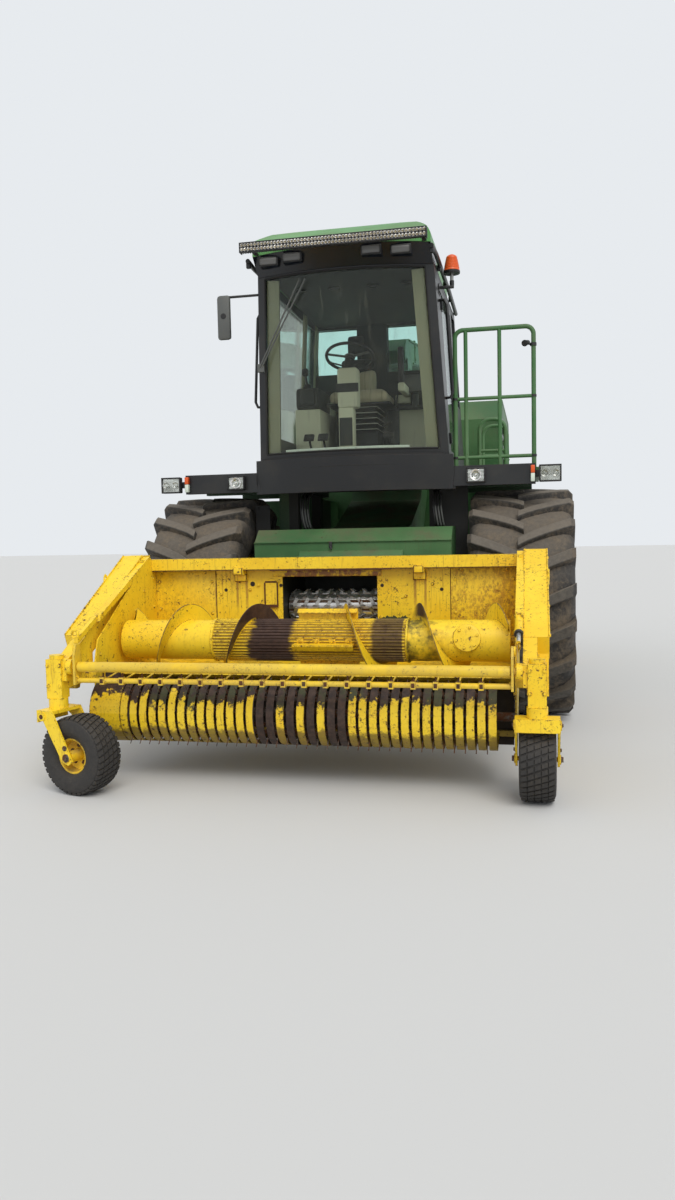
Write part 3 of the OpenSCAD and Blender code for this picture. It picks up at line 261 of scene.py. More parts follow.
def header_paint(name, stain=0.0, dull=0.0, rusty=0.0):
    """Yellow header paint, with a brown film, a dull film or rust over it, each from 0 to 1."""
    look = Look(name)
    colour, rough, height, patchy, fine = yellow_base(look, 0.7, 0.8)
    if rusty:
        over = (fine + (patchy - 0.5) * 0.4).rise(0.36, 0.56) * rusty
        colour = look.mix(over, colour, (0.22, 0.070, 0.030))
    if dull:
        colour = look.mix(dull * patchy.rise(0.25, 0.55), colour, (0.50, 0.36, 0.085))
    if stain:
        # Scratched brown film on the patch panels
        scratch = look.noise(52.0, 5, 0.75, look.stretched((1.0, 1.0, 0.6)))
        brown = ((scratch + (patchy - 0.5) * 0.35).rise(0.42, 0.62) * stain
                 * (0.35 + look.axis("X").rise(0.0, 0.5) * 0.6)).clipped()
        film = look.mix(fine.rise(0.3, 0.6), (0.24, 0.12, 0.020), (0.50, 0.25, 0.020))
        colour = look.mix(brown, colour, film)
        rough = (rough + brown * 0.2).clipped()
    else:
        # Rust that has run down from the clips under the beam
        x, z = look.axis("X"), look.axis("Z")
        runs = None
        for across in (-0.652, -0.584, 0.584, 0.652):
            run = (x - across + (fine - 0.5) * 0.012).size().rise(0.013, 0.004)
            runs = run if runs is None else runs + run
        below = ((1.155 - z).rise(0.0, 0.01) * (z + patchy * 0.25).rise(1.00, 1.16)
                 * look.axis("Y").rise(-2.52, -2.49))
        colour = look.mix((runs * below * 0.7).clipped(), colour, (0.28, 0.115, 0.018))
    # Wet dirt low down and inside the trough
    low = look.axis("Z").rise(0.72, 0.50) * look.axis("Y").rise(-3.60, -3.40)
    grime = (low * (fine + patchy).rise(0.85, 1.15)).clipped()
    colour = look.mix(grime * 0.8, colour, SOIL)
    return look.surface(Base_Color=colour, Roughness=(rough + grime * 0.3).clipped(),
                        Normal=look.bump(height, 0.0006, 0.6, 0.004))


def band_paint(name):
    """Stripper bands: yellow below, brown and mossy on top, and bare brown in the middle of the row."""
    look = Look(name)
    colour, rough, height, patchy, fine = yellow_base(look, 0.8, 0.5)
    x, z = look.axis("X"), look.axis("Z")
    band = look.node("Math", {"operation": "FLOOR"}, {0: (x + 1.0) / 0.060})
    dice = look.node("TexWhiteNoise", {"noise_dimensions": "1D"}, {"W": band}, "Value")
    edge = look.noise(14.0, 4, 0.7) * 0.14 + look.noise(34.0, 4, 0.7) * 0.16 + dice * 0.08
    worn = (z + edge).rise(0.690, 0.712)
    middle_row = (x + 0.235).rise(0.0, 0.004) * (0.330 - x).rise(0.0, 0.004)
    kept = dice.rise(0.80, 0.81)
    bare = (middle_row * (1 - kept) * (look.noise(9.0, 4, 0.7) + 0.42).rise(0.50, 0.60)).clipped()
    foot = (z - edge * 0.5).rise(0.262, 0.235)
    brown = worn.larger(bare).larger(foot * 0.7)
    steel = look.mix(fine.rise(0.35, 0.7), (0.030, 0.017, 0.013), (0.080, 0.045, 0.030))
    steel = look.mix((patchy + dice * 0.2).rise(0.6, 0.72) * worn * 0.6, steel, MOSS)
    colour = look.mix(brown, colour, steel)
    return look.surface(Base_Color=colour, Roughness=(rough * (1 - brown) + brown * 0.5).clipped(),
                        Metallic=(brown * 0.25).clipped(),
                        Normal=look.bump(height - brown * 0.5, 0.0007, 0.6, 0.002))


def auger_paint(name):
    """Yellow auger, polished brown where the crop rubs, and dirty green near the ladder side's ring."""
    look = Look(name)
    colour, rough, height, patchy, fine = yellow_base(look, 0.6, 0.7)
    x, y, z = (look.axis(letter) for letter in "XYZ")
    wobble = (look.noise(7.0, 4, 0.7, look.stretched((0.5, 2.0, 2.0))) - 0.5) * 0.20
    dy, dz = y - AUGER_Y, z - AUGER_Z
    out = (dy * dy + dz * dz) ** 0.5
    rubbed = ((x + wobble + 0.385).rise(0.0, 0.04) * (-0.075 - x - wobble).rise(0.0, 0.04))
    second = (x + wobble * 0.5 - 0.385).rise(0.0, 0.03) * (0.590 - x).rise(0.0, 0.01) * 0.85
    flight = out.rise(0.140, 0.150)
    bare_flight = flight * ((x + 0.50).rise(0.0, 0.03) * (-0.20 - x).rise(0.0, 0.05)
                            + (x - 0.62).rise(0.0, 0.05) * (0.80 - x).rise(0.0, 0.1)
                            * z.rise(0.93, 0.97))
    bare = ((rubbed + second) * (1 - flight) + bare_flight).clipped()
    groove = ((x + 0.604).rise(0.0, 0.004) * (0.604 - x).rise(0.0, 0.004)
              * (0.1305 - out).rise(0.0, 0.003))
    colour = look.mix(groove * (0.55 + fine * 0.4), colour, (0.20, 0.11, 0.018))
    rubbed_rim = out.rise(0.2195, 0.2245) * fine.rise(0.3, 0.5)
    colour = look.mix(rubbed_rim * 0.8, colour, (0.16, 0.085, 0.030))
    steel = look.mix(fine.rise(0.35, 0.7), (0.085, 0.046, 0.032), (0.050, 0.027, 0.020))
    colour = look.mix(bare, colour, steel)
    ring = ((x - 0.60).rise(0.0, 0.02) * (0.90 - x).rise(0.0, 0.16)
            * (patchy + fine * 0.3).rise(0.58, 0.76) * (1 - flight)).clipped()
    colour = look.mix(ring * 0.85, colour, (0.045, 0.045, 0.012))
    return look.surface(Base_Color=colour, Roughness=(rough * (1 - bare) + bare * 0.42).clipped(),
                        Metallic=(bare * 0.35).clipped(),
                        Normal=look.bump(height * (1 - bare) + fine * bare * 0.2, 0.0006, 0.6, 0.003))


def heap(name, dark, light):
    """Loose crop or moss, speckled and without shine."""
    look = Look(name)
    coarse, fine = look.noise(60.0, 5, 0.7), look.noise(260.0, 4, 0.7)
    return look.surface(Base_Color=look.mix((coarse * 0.5 + fine * 0.5).rise(0.4, 0.62), dark, light),
                        Roughness=0.92, Normal=look.bump(coarse + fine, 0.006, 1.0))


def plain_metal(name, colour, dark, rough=0.38, metal=0.9, rust=0.2):
    """Worn bare steel with scratches and some rust."""
    look = Look(name)
    fine = look.noise(30.0, 5, 0.7)
    long_marks = look.noise(60.0, 3, 0.6, look.stretched((0.12, 1.0, 1.0)))
    colour_now = look.mix(long_marks.rise(0.35, 0.7), colour, dark)
    rusty = (fine + look.noise(4.0, 3) * 0.4).rise(0.86 - rust * 0.5, 0.98 - rust * 0.45)
    colour_now = look.mix(rusty, colour_now, RUST)
    return look.surface(Base_Color=colour_now, Metallic=(metal * (1 - rusty)).clipped(),
                        Roughness=(rough + fine * 0.2 + rusty * 0.35).clipped(),
                        Normal=look.bump(fine * 0.4 + long_marks * 0.4, 0.0004, 0.5, 0.002))


def plastic(name, colour, dusty, rough=0.5, dust=0.35):
    """Moulded plastic or rubber with a fine grain and a film of dust."""
    look = Look(name)
    film = look.noise(4.0, 5, 0.65)
    grain = look.noise(420.0, 2, 0.5)
    flat = look.facing("Z").rise(0.1, 0.95)
    dust_now = ((film.rise(0.42, 0.7) * 0.6 + flat * 0.6) * dust).clipped()
    return look.surface(Base_Color=look.mix(dust_now, colour, dusty),
                        Roughness=(rough + dust_now * 0.35 + film * 0.08).clipped(),
                        Normal=look.bump(grain, 0.0003, 0.6, 0.002))


def window_glass(name, front, back, dirt=0.2):
    """Thin glass: clear straight on, tinted behind the driver, with a film of dust and runs."""
    look = Look(name)
    film = look.noise(2.2, 5, 0.6)
    streak = look.noise(8.0, 4, 0.6, look.stretched((3.0, 3.0, 0.3)))
    clear = look.node("BsdfTransparent", {}, {"Color": front})
    tinted = look.node("BsdfTransparent", {}, {"Color": back})
    behind = look.axis("Y").rise(-0.4, -0.3)
    clear = look.node("MixShader", {}, {0: behind, 1: clear, 2: tinted})
    gloss = look.node("BsdfGlossy", {}, {"Color": (0.9, 0.95, 0.95), "Roughness": 0.03})
    slant = look.node("Fresnel", {}, {"IOR": 1.30})
    glazed = look.node("MixShader", {}, {0: (slant * 0.8).clipped(), 1: clear, 2: gloss})
    dust = look.node("BsdfDiffuse", {}, {"Color": (0.30, 0.31, 0.24)})
    amount = ((film.rise(0.55, 0.8) * 0.4 + streak.rise(0.55, 0.8) * 0.6) * dirt + dirt * 0.06).clipped()
    return look.end(look.node("MixShader", {}, {0: amount, 1: glazed, 2: dust}))


def seat_fabric(name, colour, worn):
    """Woven seat cover, with sewn channels across it."""
    look = Look(name)
    across, deep, up = (look.axis(letter) for letter in "XYZ")
    weave = ((across * 900.0 % 1.0 - 0.5).size() + ((deep + up) * 900.0 % 1.0 - 0.5).size())
    cloud = look.noise(5.0, 4, 0.6)
    channel = (((across + 0.133) / 0.105 % 1.0 - 0.5).size() * 2).rise(0.90, 1.0)
    shade = look.mix(cloud.rise(0.4, 0.68), colour, worn)
    shade = look.mix(weave.rise(0.5, 0.9) * 0.35, shade, tuple(c * 0.55 for c in colour))
    shade = look.mix(channel * 0.7, shade, tuple(c * 0.4 for c in colour))
    return look.surface(Base_Color=shade, Roughness=(0.82 + cloud * 0.12).clipped(), Sheen_Weight=0.25,
                        Normal=look.bump(weave * 0.3 - channel * 1.6, 0.0012, 0.7))


def tyre_rubber(name, wheel, radius, body_radius, clay=0.5, dark=0.0):
    """Farm tyre: worn grey lug tops, clay in the grooves, moulded rings on the side walls."""
    look = Look(name)
    y, z = look.axis("Y") - wheel.y, look.axis("Z") - wheel.z
    reach = (y * y + z * z) ** 0.5
    fine = look.noise(38.0, 5, 0.7)
    big = look.noise(4.5, 5, 0.65)
    top = reach.rise(body_radius + 0.018, radius - 0.006)
    side = reach.rise(body_radius - 0.02, body_radius - 0.06)
    rubber = look.mix(fine.rise(0.35, 0.7), (0.030, 0.028, 0.026), (0.060, 0.055, 0.050))
    worn = look.mix(fine.rise(0.3, 0.75), (0.062, 0.056, 0.049), (0.112, 0.102, 0.088))
    colour = look.mix(top, rubber, worn)
    upward = look.facing("Z").rise(0.15, 0.75)
    colour = look.mix((upward * (0.45 + fine * 0.6)).clipped() * 0.75, colour, (0.190, 0.158, 0.120))
    if dark:
        colour = look.mix(dark, colour, (0.016, 0.015, 0.015))
    caked = ((big + (fine - 0.5) * 0.5).rise(0.42, 0.62) * (1 - top) * (1 - side * 0.45) * clay
             + (big + (fine - 0.5) * 0.6).rise(0.56, 0.7) * 0.35 * clay).clipped()
    colour = look.mix(caked, colour, look.mix(fine.rise(0.3, 0.7), (0.120, 0.096, 0.072), MUD))
    rings = (reach * 95.0 % 1.0).rise(0.82, 0.96) * side
    height = fine * 0.5 + rings * 0.35 + caked * 0.6
    return look.surface(Base_Color=colour, Roughness=(0.72 + caked * 0.2 + fine * 0.08).clipped(),
                        Normal=look.bump(height, 0.0035, 0.7))


# Place of the auger's shaft in the frame, in metres
AUGER_Y, AUGER_Z = -3.02038, 0.81
YELLOW, FADED_YELLOW = (0.90, 0.580, 0.010), (0.96, 0.680, 0.026)
GREEN, FADED_GREEN = (0.028, 0.110, 0.030), (0.070, 0.170, 0.058)
# Half width, back, bottom and top of the places where painted shade and grime turn the paint near-black,
# in metres
MOUTH, UNDER_CAB = (0.346, -1.05, -1.0, 1.20), (0.62, 0.32, 1.25, 1.89)
looks = {
    "header": header_paint("header_yellow"),
    "guard": header_paint("guard_yellow", dull=0.45),
    "bands": band_paint("band_yellow"),
    # Near-black paint that stands for painted shade, with a little grime, for the reel's backing plate
    # and the wall's holes
    "grime_and_painted_shade": farm_paint("grime_and_painted_shade_plate", (0.020, 0.014, 0.010), (0.035, 0.026, 0.018), wear=0.1, grime=0.3,
                        streaks=0.1, gloss=0.75),
    "rim": farm_paint("rim_yellow", YELLOW, FADED_YELLOW, wear=0.3, grime=0.8, streaks=0.3),
    "body": farm_paint("body_green", GREEN, FADED_GREEN, wear=0.25, grime=0.5, streaks=0.3, moss=0.3,
                       grime_and_shade_box=UNDER_CAB),
    "housing": farm_paint("housing_green", GREEN, FADED_GREEN, wear=0.45, grime=0.85, streaks=0.4,
                          moss=0.5, gloss=0.5, grime_and_shade_box=MOUTH),
    "visor": farm_paint("visor_black", (0.005, 0.007, 0.012), (0.008, 0.011, 0.017), wear=0.0,
                        grime=0.03, streaks=0.05, gloss=0.18),
    "mouth": farm_paint("feed_housing_green", GREEN, FADED_GREEN, wear=0.45, grime=0.85, streaks=0.4,
                        moss=0.5, gloss=0.5, grime_and_shade_box=MOUTH),
    "frame": farm_paint("frame_green", (0.014, 0.050, 0.016), (0.026, 0.060, 0.026), wear=0.2,
                        grime=0.25, streaks=0.2, gloss=0.6, grime_and_shade_box=UNDER_CAB),
    "rail": farm_paint("rail_green", (0.040, 0.140, 0.040), (0.085, 0.185, 0.070), wear=0.4,
                       grime=0.4, streaks=0.3),
    "roof": farm_paint("roof_green", (0.070, 0.270, 0.060), (0.130, 0.350, 0.105), wear=0.0, grime=0.3,
                       streaks=0.2, gloss=0.35),
    "black": farm_paint("black_paint", (0.007, 0.008, 0.010), (0.015, 0.016, 0.016), wear=0.1,
                        grime=0.10, streaks=0.12, gloss=0.30),
    "axle": farm_paint("axle_paint", (0.030, 0.045, 0.030), (0.050, 0.055, 0.045), wear=0.4,
                       grime=0.9, streaks=0.3, gloss=0.6),
    "steel": plain_metal("worn_steel", (0.52, 0.52, 0.50), (0.28, 0.27, 0.26), rust=0.12),
    "dark_steel": plain_metal("dark_steel", (0.16, 0.14, 0.12), (0.08, 0.06, 0.05), rough=0.5,
                              metal=0.6, rust=0.5),
    "black_plastic": plastic("black_plastic", (0.012, 0.012, 0.013), (0.10, 0.09, 0.08)),
    "trim": plastic("cab_trim", (0.60, 0.62, 0.45), (0.58, 0.55, 0.40), rough=0.62, dust=0.5),
    "pillar_trim": plastic("pillar_trim", (0.24, 0.25, 0.16), (0.30, 0.28, 0.19), rough=0.62, dust=0.6),
    "glass": window_glass("cab_glass", (0.97, 0.985, 0.96), (0.74, 0.93, 0.90)),
    "amber": plastic("amber_lens", (0.75, 0.10, 0.010), (0.55, 0.20, 0.08), rough=0.25, dust=0.25),
    "lens": plastic("lamp_lens", (0.62, 0.62, 0.58), (0.40, 0.37, 0.31), rough=0.18, dust=0.4),
    "dark_trim": plastic("dark_cab_trim", (0.028, 0.030, 0.028), (0.09, 0.085, 0.07),
                         rough=0.6, dust=0.4),
    "grey_plastic": plastic("grey_plastic", (0.10, 0.105, 0.10), (0.18, 0.17, 0.14),
                            rough=0.5, dust=0.3),
    "fold_edge": plastic("bellows_edge", (0.60, 0.60, 0.54), (0.56, 0.52, 0.42), rough=0.6, dust=0.3),
    "pale_strip": plastic("pale_sill_strip", (0.70, 0.78, 0.68), (0.55, 0.56, 0.46),
                          rough=0.5, dust=0.3),
    "rubber_seal": plastic("rubber_seal", (0.010, 0.010, 0.010), (0.06, 0.055, 0.045),
                           rough=0.7, dust=0.3),
    "seat_cloth": seat_fabric("seat_cloth", (0.52, 0.47, 0.31), (0.56, 0.50, 0.34)),
    "seat_dark": seat_fabric("seat_dark_cloth", (0.018, 0.018, 0.017), (0.04, 0.038, 0.032)),
    "chrome": plain_metal("lamp_bowl", (0.90, 0.89, 0.87), (0.45, 0.44, 0.42), rough=0.16, rust=0.0),
    "mirror_glass": plain_metal("mirror_glass", (0.80, 0.83, 0.83), (0.70, 0.72, 0.72), rough=0.04,
                                rust=0.0),
    "warm_cell": plastic("light_cell", (0.62, 0.50, 0.26), (0.5, 0.42, 0.25), rough=0.3, dust=0.1),
    "lamp_glass": window_glass("lamp_glass", (0.96, 0.97, 0.96), (0.96, 0.97, 0.96), dirt=0.9),
    "frosted": plastic("frosted_lens", (0.14, 0.14, 0.135), (0.10, 0.095, 0.085), rough=0.25, dust=0.4),
    "red_lens": plastic("red_lens", (0.42, 0.012, 0.010), (0.30, 0.10, 0.06), rough=0.22, dust=0.3),
    "rust": plain_metal("rusted_edge", RUST, DARK_RUST, rough=0.8, metal=0.1, rust=0.6),
    "dark_rust": plain_metal("dark_rusted_clamp", (0.09, 0.055, 0.03), DARK_RUST, rough=0.75, metal=0.2,
                             rust=0.5),
    "bright_steel": plain_metal("polished_steel", (0.80, 0.80, 0.78), (0.50, 0.50, 0.49), rough=0.22,
                                rust=0.04),
    "moss": heap("wet_moss", (0.030, 0.045, 0.010), (0.080, 0.075, 0.030)),
    "chaff": heap("dry_chaff", (0.20, 0.15, 0.06), (0.46, 0.36, 0.14)),
    "header_stained": header_paint("stained_header_yellow", stain=0.8),
    "rusted_lip": header_paint("rusted_lip_yellow", rusty=0.9),
    "auger": auger_paint("auger_yellow"),
}
by_look = {
    "header": ["header_frame", "caster_fork_left", "caster_fork_right"],
    "guard": ["crop_guard"],
    "bands": ["stripper_bands"],
    "rim": ["front_rim_left", "front_rim_right", "rear_rim_left", "rear_rim_right"],
    "body": ["rear_body", "deck", "spout_base", "spout_boom", "spout_cap", "fuel_tank"],
    "housing": ["chopper_housing"],
    "mouth": ["feed_housing"],
    "frame": ["frame"],
    "rail": ["railing"],
    "roof": ["cab_roof"],
    "visor": ["visor"],
    "black": ["cab_shell", "front_beam", "door", "radiator_door"],
    "black_plastic": ["mirrors", "light_bar"],
    "grey_plastic": ["wipers"],
    "axle": ["front_axle", "rear_axle", "knuckle_left", "knuckle_right", "engine", "lift_cylinders"],
    "steel": ["feed_roll_lower"],
    "dark_steel": ["exhaust", "tine_reel"],
    "trim": ["cab_console", "seat"],
    "glass": ["cab_glass", "door_glass"],
    "amber": ["beacon"],
    "lens": ["lamps"],
}
for look, members in by_look.items():
    for name in members:
        nodes[name].data.materials.clear()
        nodes[name].data.materials.append(looks[look])
for side in ("left", "right"):
    for name, tread_step in ((f"front_tyre_{side}", 0.045), (f"rear_tyre_{side}", 0.045),
                             (f"caster_wheel_{side}", 0.010)):
        low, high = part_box(name)
        radius = (high.z - low.z) / 2
        rubber = looks[f"{name}_rubber"] = tyre_rubber(
            f"{name}_rubber", (low + high) / 2, radius, radius - tread_step,
            *((0.15, 0.75) if name.startswith("caster") else (0.55, 0.0)))
        nodes[name].data.materials.clear()
        nodes[name].data.materials.append(rubber)


# Making of pieces

axle_y = middle("front_rim_left").y
TO_FRAME = Matrix.Translation((0.0, axle_y, 0.0)) @ Matrix.Scale(0.001, 4)


class Piece:
    """A mesh shaped by operators, in millimetres, with Y counted from the front axle."""

    def __init__(self, look):
        self.mesh = bmesh.new()
        self.painted = self.mesh.faces.layers.int.new("painted")
        self.old = self.mesh.verts.layers.int.new("old")
        self.looks = [look]

    def paint(self, look):
        """What comes next has another finish."""
        self.settle()
        self.looks.append(look)

    def settle(self):
        for face in self.mesh.faces:
            if not face[self.painted]:
                face[self.painted] = 1
                face.material_index = len(self.looks) - 1

    def keep(self):
        """Marks what is there, so that fresh() gives only what is made after this."""
        for vert in self.mesh.verts:
            vert[self.old] = 1

    def fresh(self):
        return [vert for vert in self.mesh.verts if not vert[self.old]]

    def outward(self, verts):
        faces = list({face for vert in verts for face in vert.link_faces})
        bmesh.ops.recalc_face_normals(self.mesh, faces=faces)

    def block(self, low, high, bevel=0.0):
        low, high = Vector(low), Vector(high)
        place = Matrix.Translation((low + high) / 2) @ Matrix.Diagonal((*(high - low), 1.0))
        made = bmesh.ops.create_cube(self.mesh, size=1.0, matrix=place)["verts"]
        return self.rounded(made, bevel) if bevel else made

    def rounded(self, verts, width):
        edges = list({edge for vert in verts for edge in vert.link_edges})
        made = bmesh.ops.bevel(self.mesh, geom=edges, offset=width, offset_type="OFFSET",
                               affect="EDGES", segments=2, profile=0.5, material=-1)
        return list({vert for face in made["faces"] for vert in face.verts})

    def rod(self, start, end, radius, far=None, sides=16):
        start, end = Vector(start), Vector(end)
        along = end - start
        turn = along.to_track_quat("Z", "Y").to_matrix().to_4x4()
        place = Matrix.Translation((start + end) / 2) @ turn
        return bmesh.ops.create_cone(
            self.mesh, cap_ends=True, segments=sides, radius1=radius,
            radius2=radius if far is None else far, depth=along.length, matrix=place)["verts"]

    def bar(self, start, end, wide, deep, across=(1, 0, 0)):
        """A square bar, wide along across and deep at right angles to it."""
        start, end = Vector(start), Vector(end)
        along = end - start
        side = Vector(across) - along * (Vector(across).dot(along) / along.length_squared)
        side.normalize()
        turn = Matrix((side * wide, along.normalized().cross(side) * deep, along)).transposed()
        made = bmesh.ops.create_cube(self.mesh, size=1.0, matrix=Matrix.Translation(
            (start + end) / 2) @ turn.to_4x4())["verts"]
        self.outward(made)
        return made

    def plate(self, outline, axis, start, end):
        """An outline pushed from start to end along an axis, its points in the other two."""
        order = {"X": (2, 0, 1), "Y": (0, 2, 1), "Z": (0, 1, 2)}[axis]
        ring = [self.mesh.verts.new([(*point, start)[i] for i in order]) for point in outline]
        face = self.mesh.faces.new(ring)
        made = bmesh.ops.extrude_face_region(self.mesh, geom=[face])["geom"]
        moved = [vert for vert in made if isinstance(vert, bmesh.types.BMVert)]
        step = [(0.0, 0.0, end - start)[i] for i in order]
        bmesh.ops.translate(self.mesh, verts=moved, vec=step)
        self.outward(ring + moved)
        return ring + moved

    def turned(self, profile, centre, axis=(1, 0, 0), steps=32, closed=False):
        """A profile of points (along, out) turned round an axis through the centre."""
        axis = Vector(axis).normalized()
        out = Vector((0, 0, 1)) if abs(axis.z) < 0.9 else Vector((0, -1, 0))
        out = (out - out.dot(axis) * axis).normalized()
        centre = Vector(centre)
        self.keep()
        verts = [self.mesh.verts.new(centre + axis * a + out * r) for a, r in profile]
        pairs = list(zip(verts, verts[1:])) + ([(verts[-1], verts[0])] if closed else [])
        edges = [self.mesh.edges.new(pair) for pair in pairs]
        bmesh.ops.spin(self.mesh, geom=verts + edges, cent=centre, axis=axis, dvec=(0, 0, 0),
                       angle=math.radians(360), steps=steps, use_merge=True, use_duplicate=False)
        bmesh.ops.remove_doubles(self.mesh, verts=self.fresh(), dist=0.01)
        self.outward(self.fresh())
        return self.fresh()

    def pipe(self, points, radius, sides=10):
        """A round bar bent through points."""
        points = [Vector(point) for point in points]
        last = None
        for i, point in enumerate(points):
            ahead = points[min(i + 1, len(points) - 1)] - points[max(i - 1, 0)]
            place = Matrix.Translation(point) @ ahead.to_track_quat("Z", "Y").to_matrix().to_4x4()
            ring = bmesh.ops.create_circle(self.mesh, cap_ends=i in (0, len(points) - 1),
                                           segments=sides, radius=radius, matrix=place)["verts"]
            edges = [e for e in {e for v in ring for e in v.link_edges}
                     if all(v in ring for v in e.verts)]
            if last:
                bmesh.ops.bridge_loops(self.mesh, edges=last + edges)
            last = edges

    def bolt(self, place, axis, size=18.0, proud=9.0):
        """A washer and a six-sided head standing proud of a face."""
        place, axis = Vector(place), Vector(axis).normalized()
        self.rod(place - axis * 3, place + axis * 2.5, size * 0.8, sides=12)
        self.rod(place, place + axis * proud, size * 0.55, size * 0.5, sides=6)

    def turn(self, verts, degrees, axis, centre):
        bmesh.ops.rotate(self.mesh, verts=verts, cent=centre,
                         matrix=Matrix.Rotation(math.radians(degrees), 3, axis))
        return verts

    def done(self, name, body, stands_for=(), bevel=0.0, sharp=35, place=None):
        """Moves the mesh into the frame and gives it to its body, as what it stands for."""
        self.settle()
        if place is not None:
            bmesh.ops.transform(self.mesh, matrix=place, verts=self.mesh.verts)
        bmesh.ops.transform(self.mesh, matrix=TO_FRAME, verts=self.mesh.verts)
        self.mesh.faces.layers.int.remove(self.painted)
        self.mesh.verts.layers.int.remove(self.old)
        data = bpy.data.meshes.new(name)
        self.mesh.to_mesh(data)
        self.mesh.free()
        for look in self.looks:
            data.materials.append(looks[look])
        data.shade_smooth()
        data.set_sharp_from_angle(angle=math.radians(sharp))
        piece = bpy.data.objects.new(name, data)
        bpy.context.scene.collection.objects.link(piece)
        if bevel:
            edge = piece.modifiers.new("edge", "BEVEL")
            edge.width, edge.segments, edge.limit_method = bevel, 2, "ANGLE"
            edge.angle_limit = math.radians(50)
        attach(piece, body)
        if stands_for:
            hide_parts(*stands_for)
        return piece


# Measures of the solids that the pieces follow, in millimetres: the cab's half widths and heights
# at its sill and roof, its front corners, the windscreen's bulge and lean, the visor's reach,
# the deck's top, and the spout's turning axis, underside and half width
CAB_HALF_WIDTH, CAB_TOP_HALF_WIDTH = 735, 660
CAB_SILL, CAB_TOP = 2070, 3400
CAB_FRONT, SCREEN_BULGE, SCREEN_LEAN = 480, 165, math.radians(6.8)
SCREEN_RADIUS = (CAB_HALF_WIDTH ** 2 + SCREEN_BULGE ** 2) / (2 * SCREEN_BULGE)
VISOR_REACH = 150
DECK_TOP = 1925
SPOUT_Y, SPOUT_Z, SPOUT_HALF_WIDTH = 1400, 3030, 190


def cab_side(z):
    """Half the cab's width at a height: its walls lean in."""
    lean_in = (CAB_HALF_WIDTH - CAB_TOP_HALF_WIDTH) / (CAB_TOP - CAB_SILL)
    return CAB_HALF_WIDTH - (z - CAB_SILL) * lean_in


def screen_y(x, z):
    """The windscreen's outside at x and z."""
    curve = math.sqrt(SCREEN_RADIUS ** 2 - x * x) / math.cos(SCREEN_LEAN)
    return (SCREEN_RADIUS - CAB_FRONT - SCREEN_BULGE) - curve - (z - CAB_SILL) * math.tan(SCREEN_LEAN)


def roof_edge_y(x, back=0.0):
    """The visor's front, seen from above."""
    front = -CAB_FRONT - (CAB_TOP - CAB_SILL) * math.tan(SCREEN_LEAN) - SCREEN_BULGE - VISOR_REACH
    return front + SCREEN_RADIUS - math.sqrt((SCREEN_RADIUS - back) ** 2 - x * x)


def sided(s, low, high):
    """Two corners of a block, given for the +X side, on the side s of the machine."""
    left, right = sorted((s * low[0], s * high[0]))
    return (left, *low[1:]), (right, *high[1:])


# Wheels


def farm_tyre(name, body, centre, radius, width, bead, lugs):
    """A turned carcass with slanted lugs that run from its middle over the shoulder."""
    piece = Piece(name + "_rubber")
    lug_height, shoulder = 45, 0.84
    half, tread = width / 2, radius - lug_height
    outer = [(0.62, 0.0), (0.69, 0.035), (0.70, 0.09), (0.80, 0.12), (0.90, 0.23), (0.97, 0.36),
             (0.997, 0.50), (0.99, 0.64), (0.965, 0.77), (0.90, 0.88), (0.78, 0.955), (0.55, 0.99),
             (0.25, 1.0)]
    shape = [(-half * a, bead + b * (tread - bead)) for a, b in outer]
    shape += [(-a, b) for a, b in reversed(shape)]
    piece.turned(shape, centre, steps=96, closed=True)
    reach, wide = math.pi * radius / lugs * 1.5, math.pi * radius / lugs * 0.62
    hub = Vector(centre)
    for hand in (0, 1):
        for i in range(lugs):
            start = math.radians((i + hand / 2) * 360 / lugs)
            piece.keep()
            lug = bmesh.ops.create_cube(piece.mesh, size=1.0,
                                        matrix=Matrix.Translation((0.5, 0.0, 0.5)))["verts"]
            long_edges = [e for e in {e for v in lug for e in v.link_edges}
                          if abs(e.verts[0].co.x - e.verts[1].co.x) > 0.5]
            bmesh.ops.subdivide_edges(piece.mesh, edges=long_edges, cuts=6)
            verts = piece.fresh()
            for vert in verts:
                # Along the lug from the tyre's middle, across it and up; drop is past the shoulder
                t, s, h = max(0.0, min(1.0, vert.co.x)), vert.co.y, vert.co.z
                drop = max(0.0, (t - shoulder) / (1 - shoulder))
                if t < shoulder:
                    x, low = -22 + (half * 0.90 + 22) * t / shoulder, tread - 18
                else:
                    x = half * (0.90 + 0.095 * drop)
                    low = tread - (tread - bead) * (0.14 + 0.26 * drop)
                high = radius - 12 * t * t - 34 * drop ** 1.5
                out = low + h * (high - low)
                turn = (reach * t ** 0.85 - wide * 0.5
                        + s * wide * (0.86 + 0.30 * t) * (1.12 - 0.26 * h)) / radius
                angle = start - turn
                side = -1 if hand else 1
                vert.co = hub + Vector((side * x, -out * math.sin(angle), out * math.cos(angle)))
            piece.outward(verts)
    return piece.done(name + "_cover", body, [name], bevel=0.005, sharp=40)


